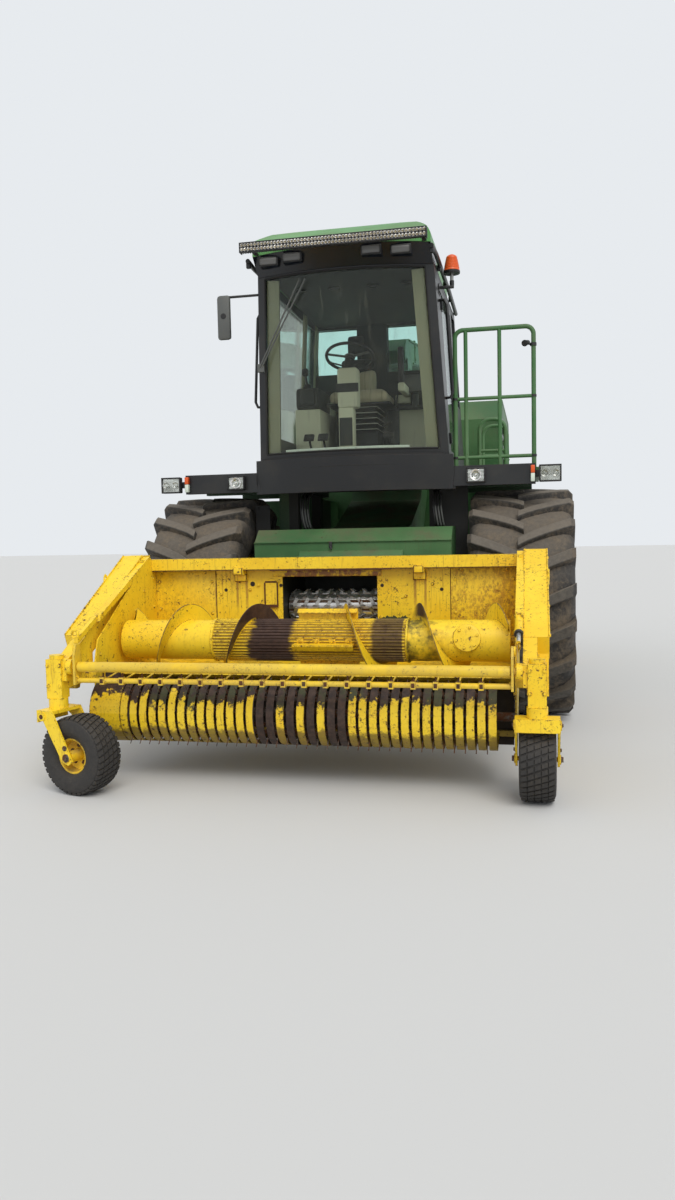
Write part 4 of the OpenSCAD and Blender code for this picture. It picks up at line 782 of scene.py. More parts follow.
def wheel_nuts(name, body, centre, disc, side, count, circle, hub_d):
    """Nuts and washers round a wheel's disc, and the cap of its hub."""
    piece = Piece("dark_steel")
    x0, y0, z0 = centre
    for i in range(count):
        a = 2 * math.pi * i / count
        y, z = y0 - circle / 2 * math.sin(a), z0 + circle / 2 * math.cos(a)
        face = x0 + side * (disc + 16)
        piece.rod((face - side, y, z), (face + side * 5, y, z), 21, sides=20)
        piece.rod((face + side * 4, y, z), (face + side * 25, y, z), 16.5, 15.5, sides=6)
        piece.rod((face + side * 24, y, z), (face + side * 34, y, z), 10, 8.5, sides=12)
    piece.paint("axle")
    face = x0 + side * (disc + 69)
    piece.turned([(0, hub_d * 0.40), (side * 14, hub_d * 0.38), (side * 17, hub_d * 0.34),
                  (side * 17, hub_d * 0.14), (side * 24, hub_d * 0.12), (side * 24, 0)],
                 (face, y0, z0), steps=40)
    for i in range(8):
        a = 2 * math.pi * (i + 0.5) / 8
        piece.bolt((face + side * 16, y0 - hub_d * 0.27 * math.sin(a), z0 + hub_d * 0.27 * math.cos(a)),
                   (side, 0, 0), 13, 9)
    return piece.done(name, body)


for side, hand in (("left", 1), ("right", -1)):
    front_hub, rear_hub = (hand * 1262.5, 0, 890), (hand * 1150, 2850, 665)
    farm_tyre(f"front_tyre_{side}", f"front_wheel_{side}", front_hub, 890, 775, 406.5, 20)
    farm_tyre(f"rear_tyre_{side}", f"rear_wheel_{side}", rear_hub, 665, 430, 305, 20)
    wheel_nuts(f"front_wheel_nuts_{side}", f"front_wheel_{side}", front_hub, -60, hand, 10, 335, 230)
    wheel_nuts(f"rear_wheel_nuts_{side}", f"rear_wheel_{side}", rear_hub, 20, hand, 8, 275, 190)


def caster_tyre(name, body, place):
    """Small block-tread tyre on its yellow rim, made at the post and turned to its place."""
    piece = Piece(name + "_rubber")
    half, r, y, z = 97.5, 228.5, 160, 228.5
    shape = [(0.72, 100), (0.78, 108), (0.90, 122), (0.985, 146), (1.0, 170), (0.985, 192),
             (0.93, 207), (0.78, 215), (0.45, 219), (0.0, 220.5)]
    shape = [(-a * half, b) for a, b in shape] + [(a * half, b) for a, b in reversed(shape[:-1])]
    piece.turned(shape, (0, y, z), steps=64, closed=True)
    centre = Vector((0, y, z))
    rows, blocks = 5, 38
    for row in range(rows):
        a0 = -0.92 + 1.84 * row / rows
        for i in range(blocks):
            block = bmesh.ops.create_cube(piece.mesh, size=1.0)["verts"]
            for vert in block:
                s, t, h = vert.co
                across = a0 + 0.184 + s * 0.315
                high = r - 20 * max(0.0, abs(across) - 0.5) ** 1.5 - 30 * max(0.0, abs(across) - 0.8)
                low = high - (9 if 0 < row < rows - 1 else 22)
                out = low + (h + 0.5) * (high - low)
                angle = 2 * math.pi * (i - row * 0.36 - s * 0.30 + t * 0.66) / blocks
                vert.co = centre + Vector((across * half, -out * math.sin(angle), out * math.cos(angle)))
            piece.outward(block)
    piece.paint("rim")
    rim = [(-72, 104), (-76, 100), (-70, 92), (-50, 88), (-22, 86), (-14, 70), (-12, 36), (-40, 34),
           (-99, 32), (-99, 13), (0, 13)]
    piece.turned(rim + [(-a, b) for a, b in reversed(rim[:-1])], (0, y, z), steps=48, closed=True)
    piece.paint("dark_steel")
    for i in range(5):
        a = 2 * math.pi * i / 5
        for s in (-1, 1):
            piece.bolt((s * 13, y - 54 * math.sin(a), z + 54 * math.cos(a)), (s, 0, 0), 16, 12)
    return piece.done(f"{name}_cover", body, [name], sharp=40, place=place)


def fork_details(name, body, place):
    """Axle bolts, pivot bosses and the collar of a caster fork."""
    piece = Piece("header")
    for s in (-1, 1):
        face = s * 117.5
        piece.rod((face, 160, 228), (face + s * 5, 160, 228), 27, sides=32)
        piece.rod((face, -18, 452), (face + s * 6, -18, 452), 26, sides=32)
        piece.paint("dark_steel")
        piece.bolt((face + s * 5, 160, 228), (s, 0, 0), 30, 14)
        piece.bolt((face, 148, 282), (s, 0, 0), 19, 10)
        piece.bolt((face + s * 6, -18, 452), (s, 0, 0), 17, 8)
        piece.paint("header")
    piece.turned([(0, 34), (0, 46), (10, 43), (14, 34)], (0, 0, 546), (0, 0, 1), steps=32, closed=True)
    piece.done(name, body, place=place)


far_caster = Matrix.Translation((-1368, -2600, 0)) @ Matrix.Rotation(math.radians(-106), 4, "Z")
near_caster = Matrix.Translation((1368, -2600, 0))
caster_tyre("caster_wheel_left", "caster_wheel_left", near_caster)
caster_tyre("caster_wheel_right", "caster_wheel_right", far_caster)
fork_details("caster_fork_bolts_left", "caster_left", near_caster)
fork_details("caster_fork_bolts_right", "caster_right", far_caster)

# Cab


def filled(piece, cap):
    """Swells a pad with cloth under pressure, no point moving further than cap, and keeps the mesh."""
    even = piece.modifiers.new("even", "REMESH")
    even.mode, even.voxel_size = "VOXEL", 0.006
    settle(piece)
    start = [vert.co.copy() for vert in piece.data.vertices]
    cloth = piece.modifiers.new("filling", "CLOTH")
    cloth.settings.use_pressure = True
    cloth.settings.uniform_pressure_force = 4.0
    cloth.settings.effector_weights.gravity = 0.0
    for number in range(1, 21):
        bpy.context.scene.frame_set(number)
    settle(piece)
    for vert, first in zip(piece.data.vertices, start):
        move = vert.co - first
        if move.length > cap:
            vert.co = first + move * (cap / move.length)
    bpy.context.scene.frame_set(1)
    soft = piece.modifiers.new("soft", "SUBSURF")
    soft.levels = soft.render_levels = 1
    piece.data.shade_smooth()


def settle(piece):
    """Applies the piece's modifiers to its mesh."""
    graph = bpy.context.evaluated_depsgraph_get()
    data = bpy.data.meshes.new_from_object(piece.evaluated_get(graph))
    piece.modifiers.clear()
    piece.data = data


def pad(name, low, high, corner, look, cap=0.022):
    """A seat pad: a rounded slab, left smaller than its place and then filled."""
    inset = Vector((14, 14, 12))
    piece = Piece(look)
    piece.block(Vector(low) + inset, Vector(high) - inset, corner)
    made = piece.done(name, "chassis")
    filled(made, cap)
    return made


def make_seat():
    """Seat with its suspension, armrest and four pads."""
    base = Piece("black_plastic")
    base.block((-285, 560, 2070), (25, 860, 2350), 12)
    base.block((-413, 462, 2572), (147, 940, 2590), 6)
    for i in range(5):
        z = 2338 + i * 48
        base.block((-262, 530, z + 8), (8, 872, z + 42), 8)
        base.block((-287, 512, z + 18), (27, 888, z + 32), 6)
    # Frame behind the backrest, and posts of the headrest
    base.block((-330, 905, 2600), (-76, 949, 2690), 10)
    for x in (-270, -180):
        base.rod((x, 915, 2980), (x, 915, 3110), 7)
    # Suspension lever and belt buckle on the ladder side
    base.rod((40, 600, 2380), (120, 560, 2420), 9)
    base.block((112, 545, 2405), (150, 575, 2440), 8)
    base.rod((160, 760, 2600), (186, 740, 2740), 8)
    base.block((172, 722, 2735), (204, 756, 2790), 8)
    base.paint("fold_edge")
    for i in range(5):
        z = 2338 + i * 48
        base.block((-289, 510, z + 22), (29, 890, z + 28), 2)
    # Armrest on the ladder side, carried by the backrest
    base.paint("trim")
    base.block((225, 420, 2662), (285, 900, 2738), 16)
    base.block((147, 805, 2612), (286, 895, 2688), 12)
    base.paint("black_plastic")
    base.block((227, 425, 2736), (273, 495, 3036), 12)
    base.rod((250, 460, 3000), (250, 460, 3038), 26)
    base.done("seat_base", "chassis", ["seat"])
    pad("seat_cushion", (-413, 450, 2584), (147, 950, 2697), 34, "seat_cloth")
    pad("seat_back_lower", (-385, 832, 2700), (-21, 948, 2945), 36, "seat_cloth")
    pad("seat_back_upper", (-373, 838, 2930), (-33, 950, 3048), 34, "seat_dark")
    pad("seat_headrest", (-314, 872, 3062), (-138, 950, 3264), 24, "seat_dark", 0.016)


def make_controls():
    """Steering column with its wheel, pedals, and the console on the far side of the seat."""
    piece = Piece("trim")
    piece.block((-230, 100, 2070), (-105, 220, 2505), 10)
    piece.block((-235, 90, 2500), (-65, 240, 2830), 22)
    piece.block((-654, 300, 2070), (-430, 900, 2530), 10)
    piece.paint("dark_trim")
    piece.block((-245, 84, 2628), (-55, 100, 2700), 6)
    piece.block((-649, 300, 2528), (-436, 760, 2716), 30)
    piece.block((-600, 262, 2560), (-470, 320, 2700), 24)
    piece.block((-222, 94, 2190), (-113, 102, 2420), 3)
    piece.paint("black_plastic")
    lean = math.radians(24)
    hub, axis = Vector((-145, 216, 2934)), Vector((0, math.sin(lean), math.cos(lean)))
    ring = [(13 * math.cos(a), 198 + 13 * math.sin(a)) for a in (math.pi * i / 6 for i in range(12))]
    piece.turned(ring, hub, axis, steps=56, closed=True)
    piece.rod((-145, 150, 2800), hub - axis * 6, 27, 22, sides=24)
    # Bellows under the wheel, and stalks
    for i in range(5):
        piece.turned([(-108 + i * 17, 0), (-108 + i * 17, 36), (-101 + i * 17, 43), (-94 + i * 17, 36),
                      (-94 + i * 17, 0)], hub, axis, steps=24)
    piece.rod((-180, 150, 2850), (-285, 120, 2878), 7)
    piece.rod((-110, 150, 2850), (-8, 118, 2872), 7)
    piece.block((-312, 108, 2868), (-280, 130, 2890), 7)
    for x in (-425, -308, 227):
        tread = piece.block((x - 43, -185, 2232), (x + 43, -115, 2246), 6)
        for i in range(4):
            tread += piece.block((x - 36, -178 + i * 17, 2244), (x + 36, -170 + i * 17, 2251))
        piece.turn(tread, 50, "X", (x, -150, 2240))
        piece.pipe([(x, -142, 2240), (x, -110, 2190), (x, -50, 2130), (x, 0, 2076)], 9)
    # Joystick with its boot on the console
    piece.turned([(0, 46), (6, 46), (12, 34), (20, 38), (28, 26), (36, 30), (44, 18), (50, 14), (50, 0)],
                 (-560, 380, 2712), (0, 0, 1), steps=24)
    piece.rod((-560, 380, 2740), (-568, 362, 2830), 11)
    piece.block((-598, 330, 2822), (-542, 388, 2886), 16)
    for i in range(4):
        piece.block((-632 + i * 46, 500, 2714), (-600 + i * 46, 540, 2724), 3)
    piece.paint("grey_plastic")
    piece.turned([(-6, 0), (-6, 44), (8, 47), (14, 36), (16, 0)], hub, axis, steps=32)
    for a in (-18, 90, 198):
        spoke = piece.block(hub + Vector((34, -13, -5)), hub + Vector((190, 13, 5)), 4)
        piece.turn(spoke, a, "Z", hub)
        piece.turn(spoke, -24, "X", hub)
    piece.rod(hub + axis * 4, hub + axis * 20, 24)
    piece.done("steering_and_controls", "chassis", ["cab_console"])


def make_trims():
    """Posts, linings and panels that show through the glass."""
    trim = Piece("pillar_trim")
    for s in (-1, 1):
        low, high = s * (cab_side(2080) - 118), s * (cab_side(3360) - 118)
        trim.bar((low, screen_y(low, 2080) + 52, 2080), (high, screen_y(high, 3360) + 52, 3360), 92, 26)
        for y in (560, 1000):
            trim.bar((s * (cab_side(2080) - 56), y, 2076), (s * (cab_side(3390) - 56), y, 3390), 20, 80)
    trim.paint("trim")
    trim.block((170, 860, 2075), (640, 998, 2560), 12)
    trim.block((-650, 905, 2075), (-432, 1000, 2700), 12)
    trim.paint("pale_strip")
    rim = [(x, screen_y(x, 2095) + 20) for x in range(-510, 451, 80)]
    trim.plate(rim + [(x, y + 34) for x, y in reversed(rim)], "Z", 2082, 2112)
    trim.done("cab_trims", "chassis")

    dark = Piece("dark_trim")
    # Roof lining with its air outlets, and the pillar between the rear windows
    lining = [(x, screen_y(x, 3380) + 60) for x in range(-560, 561, 80)]
    dark.plate(lining + [(590, 1000), (-590, 1000)], "Z", 3364, 3392)
    dark.block((-228, 975, 2080), (48, 1003, 3364), 8)
    dark.block((-640, 980, 2680), (640, 1004, 2926), 8)
    for x in (-420, -150, 150, 420):
        dark.turned([(0, 0), (0, 44), (-14, 52), (-14, 36), (-8, 34), (-8, 0)], (x, -330, 3366),
                    (0, 0, 1), steps=20)
    # Rounded panel and shelf behind the armrest, and a small screen on its arm
    dark.block((210, 700, 2676), (444, 742, 2866), 26)
    dark.block((300, 735, 2560), (350, 860, 2760), 8)
    dark.block((180, 760, 2556), (600, 990, 2588), 10)
    dark.block((-640, 860, 2700), (-440, 990, 2760), 12)
    dark.paint("grey_plastic")
    dark.block((228, 694, 2700), (426, 702, 2842), 10)
    dark.done("cab_linings", "chassis")

    # Seals of the windscreen, door and windows
    seal = Piece("rubber_seal")
    low = [(x, screen_y(x, 2086) - 3, 2086) for x in range(-660, 661, 60)]
    high = [(x, screen_y(x, 3366) - 3, 3366) for x in range(-590, 591, 59)]
    for line in (low, high):
        seal.pipe(line, 7, 8)
    for s in (-1, 1):
        a, b = s * (cab_side(2086) - 62), s * (cab_side(3366) - 62)
        seal.pipe([(a, screen_y(a, 2086) - 3, 2086), (b, screen_y(b, 3366) - 3, 3366)], 7, 8)
    for x0, x1 in ((-620, -230), (50, 420)):
        seal.pipe([(x0, 1051, 2930), (x1, 1051, 2930), (x1, 1051, 3340), (x0, 1051, 3340),
                   (x0, 1051, 2930)], 8, 8)
    seal.done("window_seals", "chassis")


make_seat()
make_controls()
make_trims()

# Lamps, beacon, mirror


def lamp(piece, low, high, cups):
    """Housing with a deep bezel, bright bowl and clear glass in its front (-Y) face."""
    low, high = Vector(low), Vector(high)
    wide, tall = high.x - low.x, high.z - low.z
    piece.paint("black_plastic")
    piece.block((low.x, low.y + 14, low.z), high, 8)
    rim = 11
    for a, b in (((0, 0), (wide, rim)), ((0, tall - rim), (wide, tall)), ((0, 0), (rim, tall)),
                 ((wide - rim, 0), (wide, tall))):
        piece.block((low.x + a[0], low.y, low.z + a[1]), (low.x + b[0], low.y + 18, low.z + b[1]), 3)
    piece.paint("chrome")
    piece.block((low.x + rim, low.y + 12, low.z + rim), (high.x - rim, low.y + 16, high.z - rim))
    for i in range(cups):
        cup = (low.x + wide * (i + 0.5) / cups, low.y + 14, (low.z + high.z) / 2)
        r = min(wide / cups, tall) / 2 - rim
        piece.turned([(0.5, 0), (0.5, r * 0.25), (r * 0.14, r * 0.6), (r * 0.34, r * 0.92),
                      (r * 0.34, r), (-2, r)], cup, (0, -1, 0), steps=24)
        piece.turned([(0, r * 0.2), (r * 0.3, r * 0.16), (r * 0.38, 0)], cup, (0, -1, 0), steps=12)
    piece.paint("lamp_glass")
    piece.block((low.x + rim, low.y + 4, low.z + rim), (high.x - rim, low.y + 7, high.z - rim))


def make_lamps():
    """Work lamps and markers of the front beam, and the lamps in the visor."""
    piece = Piece("black_plastic")
    for s in (-1, 1):
        lamp(piece, *sided(s, (865, -530, 1820), (1005, -480, 1930)), 1)
        lamp(piece, *sided(s, (1395, -540, 1810), (1555, -480, 1935)), 2)
        piece.paint("black")
        piece.block(*sided(s, (1370, -480, 1850), (1500, -450, 1900)), 4)
        piece.paint("amber")
        piece.block(*sided(s, (1335, -520, 1878), (1365, -480, 1935)), 5)
        piece.paint("pale_strip")
        piece.block(*sided(s, (1335, -519, 1815), (1365, -480, 1877)), 5)
    piece.done("head_lamps", "chassis", ["lamps"])

    visor = Piece("black_plastic")
    for x in (-525, -335, 245, 450):
        y = roof_edge_y(x, 60) - 40
        visor.paint("black_plastic")
        visor.block((x - 74, y - 14, 3417), (x + 74, y + 2, 3484), 6)
        visor.paint("frosted")
        visor.block((x - 64, y - 19, 3425), (x + 64, y - 12, 3476), 9)
    visor.done("visor_lamps", "chassis")


def make_light_bar():
    """Finned light bar with two rows of cells, on its two brackets."""
    y0, y1, z0, z1 = -1033.6, -973.6, 3475, 3545
    bar = Piece("black_plastic")
    bar.block((-690, y0 + 12, z0 + 4), (650, y1 - 14, z1 - 4), 4)
    for x in range(-676, 640, 17):
        bar.block((x, y1 - 18, z0 + 6), (x + 5, y1, z1 - 6))
        bar.block((x, y0 + 16, z1 - 6), (x + 5, y1 - 8, z1))
    for a, b in ((z0, z0 + 7), (z1 - 7, z1), ((z0 + z1) / 2 - 2, (z0 + z1) / 2 + 2)):
        bar.block((-690, y0, a), (650, y0 + 16, b), 1)
    for x in (-690, 643):
        bar.block((x, y0 - 1, z0), (x + 7, y1, z1), 2)
    for s in (-1, 1):
        back = roof_edge_y(600) - 0.3
        bar.block(*sided(s, (600, y1 - 1, 3500.3), (630, back, 3512.3)), 1)
        bar.bolt((s * 615, y1 + 10, 3512), (0, 0, 1), 14, 8)
    cells = [(-670 + i * 24.6, row) for row in (z0 + 20, z1 - 20) for i in range(54)]
    bar.paint("chrome")
    bar.block((-684, y0 + 12, z0 + 6), (644, y0 + 14, z1 - 6))
    for x, z in cells:
        bar.turned([(0, 4), (6, 8), (13, 11.2), (13, 12.3), (0, 12.3)], (x, y0 + 14, z), (0, -1, 0),
                   steps=10)
    bar.paint("warm_cell")
    for x, z in cells:
        bar.rod((x, y0 + 13, z), (x, y0 + 9, z), 4.5, 3.5, sides=6)
    bar.done("light_bar_cells", "chassis", ["light_bar"])


def make_beacon():
    """Ribbed amber beacon on its bracket beside the roof."""
    x, y, z = 765, -400, 3270
    piece = Piece("black")
    side_at = cab_side(z) + 0.3
    piece.block((side_at, y - 15, z + 6), (x + 15, y + 15, z + 25), 3)
    piece.block((side_at, y - 40, z - 40), (side_at + 6, y + 40, z + 40), 2)
    for dy in (-26, 26):
        piece.bolt((side_at + 6, y + dy, z - 20), (1, 0, 0), 14, 7)
    piece.turned([(0, 0), (0, 60), (4, 62), (18, 62), (22, 57), (22, 0)], (x, y, z + 110),
                 (0, 0, 1), steps=40)
    piece.rod((x, y, z + 24), (x, y, z + 60), 17)
    piece.paint("steel")
    piece.rod((x, y, z + 40), (x, y, z + 112), 13)
    piece.paint("amber")
    dome = [(0, 58), (10, 58), (12, 57)]
    for i in range(7):
        w = 57 - i * 2.1 - (i / 7) ** 3 * 4
        dome += [(14 + i * 12, w - 1.4), (17 + i * 12, w), (23 + i * 12, w - 0.4)]
    dome += [(104, 38), (113, 26), (119, 12), (120, 0)]
    piece.turned(dome, (x, y, z + 132), (0, 0, 1), steps=48)
    piece.done("beacon_lamp", "chassis", ["beacon"])


def make_mirror():
    """Mirror on its bent arm, on the far side."""
    y, z = -430, 3330
    side_at = -cab_side(z - 20) - 0.3
    piece = Piece("black_plastic")
    piece.block((side_at - 12, y - 25, z - 20), (side_at, y + 25, z + 20), 3)
    piece.pipe([(side_at - 4, y, z), (-900, y, z), (-990, y, z), (-1012, y, z - 8), (-1016, y, z - 30),
                (-1016, y, z - 300)], 10, 12)
    piece.paint("grey_plastic")
    piece.block((-1070, y - 35, z - 330), (-962, y + 6, z + 12), 22)
    piece.paint("black_plastic")
    piece.rod((-1016, y - 37, z - 150), (-1016, y - 30, z - 150), 22)
    piece.paint("mirror_glass")
    piece.block((-1062, y + 5, z - 318), (-970, y + 9, z), 8)
    piece.done("mirror_and_arm", "chassis", ["mirrors"])


make_lamps()
make_light_bar()
make_beacon()
make_mirror()

# Pickup header


def make_auger():
    """Ribbed tube with its flights, rings, paddles and round cover."""
    x_end, r, y, z = 1220, 125, -1940, 810
    centre = Vector((0, y, z))
    piece = Piece("auger")
    for s in (-1, 1):
        piece.turned([(s * 604, 100), (s * 604, r), (s * (x_end - 3), r), (s * x_end, r - 3),
                      (s * x_end, 32)], centre, steps=72, closed=True)
        piece.turned([(s * 603, r - 2), (s * 603, r + 9), (s * 606, r + 12), (s * 616, r + 12),
                      (s * 619, r + 9), (s * 619, r - 2)], centre, steps=72, closed=True)
        piece.rod((s * (x_end - 5), y, z), (s * 1259, y, z), 30, sides=24)
    ribs = piece.rod((-606, y, z), (606, y, z), r, sides=200)
    for vert in ribs:
        out = vert.co - centre
        out.x = 0.0
        step = round(math.atan2(out.y, out.z) / (2 * math.pi) * 200) % 5
        if step in (1, 2):
            vert.co += out.normalized() * 7.5
    # Flights: right and left hand, out from the paddles
    for s, phase in ((1, 151.5), (-1, 60.5)):
        length, steps = 1020.0, 120
        piece.keep()
        angle = math.radians(360 * length / 455)
        shape = [(-5, r - 4), (5, r - 4), (2.6, 227), (-2.6, 227)]
        start = math.radians(phase)
        verts = [piece.mesh.verts.new((s * 190 + a, y + out * math.sin(start),
                                       z - out * math.cos(start))) for a, out in shape]
        edges = [piece.mesh.edges.new((verts[i], verts[(i + 1) % 4])) for i in range(4)]
        piece.mesh.faces.new(verts)
        bmesh.ops.spin(piece.mesh, geom=verts + edges, cent=centre, axis=(1, 0, 0),
                       dvec=(s * length / steps, 0, 0), angle=angle, steps=steps,
                       use_merge=False, use_duplicate=False)
        made = piece.fresh()
        far = sorted(made, key=lambda vert: -s * vert.co.x)[:4]
        bmesh.ops.contextual_create(piece.mesh, geom=far)
        piece.outward(made)
    piece.paint("header_stained")
    for i, a in enumerate((2, 94, 184, 276)):
        flap = piece.block((-76, y - 4, z + r - 6), (300, y + 4, z + r + 70))
        flap += piece.bar((-76, y - 2, z + r + 68), (300, y - 2, z + r + 68), 7, 7)
        for x in (-40, 60, 160, 262):
            flap += piece.block((x - 22, y - 2, z + r - 4), (x + 22, y + 30, z + r + 5), 2)
            flap += piece.rod((x, y + 16, z + r + 4), (x, y + 16, z + r + 14), 9, sides=6)
        lip = piece.plate([(y - 4, z + r + 66), (y - 4, z + r + 71), (y - 34, z + r + 52),
                           (y - 36, z + r + 46)], "X", -76, 300)
        piece.turn(flap + lip, a, "X", centre)
    piece.paint("auger")
    # Round cover of the finger shaft, with its bolts
    cover = piece.turned([(r - 14, 0), (r + 6, 0), (r + 6, 70), (r + 3, 80), (r - 6, 82), (r - 14, 82)],
                         (968, y, z), (0, 0, 1), steps=48)
    for i in range(6):
        b = math.radians(60 * i + 15)
        cover += piece.rod((968 + 62 * math.cos(b), y + 62 * math.sin(b), z + r + 4),
                           (968 + 62 * math.cos(b), y + 62 * math.sin(b), z + r + 14), 8, sides=6)
    piece.turn(cover, 76, "X", centre)
    piece.done("ribbed_auger", "auger", ["auger"], sharp=30)


def make_feed_roll():
    """Upper feed roll with slanted saw teeth along its bars."""
    y, z, w = -1180, 960, 322
    piece = Piece("dark_steel")
    piece.turned([(-w, 20), (-w, 92), (w, 92), (w, 20)], (0, y, z), steps=48)
    piece.rod((-341, y, z), (341, y, z), 25, sides=24)
    piece.paint("bright_steel")
    for i in range(10):
        a = i * 36 + 14
        bar = piece.block((-w, y - 22, z + 84), (w, y + 22, z + 101), 4)
        piece.turn(bar, a, "X", (0, y, z))
        # Saw teeth, each leaning across to the next bar
        piece.paint("steel")
        for k in range(8):
            x = -290 + k * 82
            lean = 12 if x < 0 else -12
            tooth = piece.plate([(x - 13 - lean, z + 99), (x + lean - 3, z + 124.5),
                                 (x + lean + 3, z + 124.5), (x + 13 - lean, z + 99)],
                                "Y", y - 5, y + 5)
            rib = piece.bar((x, y, z + 99), (x + lean * 2.4, y + 54, z + 96), 7, 24, (0, 0, 1))
            piece.turn(tooth + rib, a, "X", (0, y, z))
        piece.paint("bright_steel")
    piece.done("toothed_feed_roll", "feed_roll_upper", ["feed_roll_upper"], sharp=30)


def make_header_trim():
    """Patches, bolts, clips, rust and stains of the header's frame, and what lies in its trough."""
    front, clips = -1403.3, (-658, 578)
    eighths = [math.pi * i / 4 for i in range(8)]
    piece = Piece("header_stained")
    # Patch panels in both corners of the back wall
    piece.block((-1246, front - 3, 700), (-808, front + 1, 1228), 1)
    piece.block((820, front - 3, 700), (1246, front + 1, 1228), 1)
    piece.paint("rust")
    piece.block((-808, front - 2.2, 700), (-803, front + 1, 1228))
    piece.block((815, front - 2.2, 700), (820, front + 1, 1228))
    piece.paint("rusted_lip")
    piece.block((-395, front - 7, 1178), (360, front + 1, 1226), 2)
    piece.paint("header")
    # Clips under the beam
    for x0 in clips:
        piece.block((x0, front - 30, 1152), (x0 + 78, front - 20, 1198), 4)
        piece.block((x0 + 8, -1489, 1200), (x0 + 70, -1484, 1242), 3)
    # Bolts along the beam and over the back wall
    for x in range(-1180, 1181, 295):
        piece.bolt((x, front - 3, 1214), (0, -1, 0), 15, 8)
    for x, z in ((-1222, 1150), (-1222, 960), (-1222, 770), (-836, 1150), (-836, 930), (-770, 1060),
                 (-560, 1090), (-500, 1120), (-352, 1150), (352, 1150), (352, 900), (520, 1040),
                 (700, 1120), (850, 1150), (850, 930), (1222, 1150), (1222, 960), (1222, 770)):
        piece.bolt((x, front - 2, z), (0, -1, 0), 15, 8)
    for s in (-1, 1):
        # Bolts on the end plates, the arms and the caster posts
        for y, z in ((-1460, 1180), (-1460, 980), (-1460, 780), (-1620, 1100), (-1760, 980),
                     (-2100, 560), (-2240, 300), (-2330, 560), (-2290, 760)):
            piece.bolt((s * 1250, y, z), (-s, 0, 0), 16, 9)
            if y > -2000:
                piece.bolt((s * 1260, y, z), (s, 0, 0), 16, 9)
        for y, z in ((-1500, 1285), (-1700, 1180), (-2000, 1020), (-2260, 880), (-2440, 790),
                     (-2560, 720)):
            piece.bolt((s * (1295 + (75 if y < -2280 else 140)), y, z), (s, 0, 0), 18, 10)
        for x, z in ((1330, 740), (1330, 620), (1404, 740), (1404, 620)):
            piece.bolt((s * x, -2645, z), (0, -1, 0), 17, 9)
        # Bearing flange of the auger's shaft
        y, z, r = -1940, 810, 70
        piece.turned([(0, 31), (0, r), (s * 7, r), (s * 9, r - 12), (s * 12, 40), (s * 12, 31)],
                     (s * 1260.5, y, z), steps=32, closed=True)
        for i in range(4):
            a, out = math.pi * (i + 0.5) / 2, r - 14
            piece.bolt((s * 1267, y + out * math.sin(a), z + out * math.cos(a)), (s, 0, 0), 15, 9)
        # Weld lips along the arm's front edge, and a lifting lug on its outer face
        piece.pipe([(s * 1296, -1530, 1341), (s * 1296, -2376, 890)], 5, 8)
        piece.pipe([(s * 1434, -1530, 1341), (s * 1434, -2376, 890)], 5, 8)
        ring = piece.turned([(6 * math.cos(a), 26 + 7 * math.sin(a)) for a in eighths],
                            (s * 1440, -1800, 1180), steps=28, closed=True)
        bmesh.ops.scale(piece.mesh, vec=(1, 0.8, 1.5), verts=ring,
                        space=Matrix.Translation((-s * 1440, 1800, -1180)))
    # Ring eye over the far post
    piece.turned([(8 * math.cos(a), 24 + 8 * math.sin(a)) for a in eighths],
                 (-1300, -2500, 905), (0.3, 1, 0), steps=28, closed=True)
    piece.paint("rust")
    # Rusted frame of the slotted plate
    for x in (-456, -367):
        piece.block((x, front - 17, 984), (x + 10, front - 10, 1140), 2)
    piece.block((-456, front - 17, 968), (-357, front - 10, 988), 2)
    piece.block((-448, front - 16, 1138), (-365, front - 10, 1150), 2)
    for x0 in clips:
        piece.block((x0 - 2, front - 28, 1196), (x0 + 80, front - 18, 1201), 2)
        for edge, inner in ((x0 - 4, x0 + 5), (x0 + 76, x0 + 67)):
            piece.block((edge, front - 27, 1150), (edge + 5, front - 18, 1200), 1)
            piece.block((inner, -1491, 1202), (inner + 4, -1483, 1242), 1)
    piece.block((-1246, -1480, 1227), (1246, -1404, 1232.2), 1)
    piece.block((-395, -1483, 1222), (430, -1404, 1231), 2)
    for x0 in clips:
        piece.block((x0 - 3, front - 25, 1148), (x0 + 81, front - 19, 1154), 2)
        piece.block((x0 + 5, -1487, 1196), (x0 + 73, -1480, 1202), 2)
    # Holes of the wall, shown as near-black discs of painted shade
    piece.paint("grime_and_painted_shade")
    for x, z in ((-339, 1119), (362, 1113), (759, 1084), (-735, 1090), (-541, 1130)):
        piece.rod((x, front + 1, z), (x, front - 1.6, z), 12 if x != -541 else 17, sides=20)
    piece.paint("moss")
    # Moss and wet dirt on the trough's edge beside the opening
    mound(piece, (345, 560), (-1480, -1406), 880, 44, 31)
    piece.done("header_trim", "header", bevel=0.001)

    # Backing plate behind the reel, near-black as painted shade, so that no light shows between the
    # bands
    plate = Piece("grime_and_painted_shade")
    plate.plate([(-2013, 255), (-2008, 255), (-2008, 540), (-2013, 540)], "X", -1236, 1236)
    plate.plate([(-2013, 255), (-2008, 258), (-2030, 205), (-2035, 205)], "X", -1236, 1236)
    plate.done("reel_backing_plate", "header")

    chaff = Piece("chaff")
    mound(chaff, (-330, 130), (-1372, -1312), 588, 34, 7)
    mound(chaff, (-900, -560), (-2030, -1880), 561, 10, 11)
    mound(chaff, (420, 900), (-2030, -1880), 561, 12, 5)
    chaff.done("chaff_left_in_the_trough", "header", sharp=60)


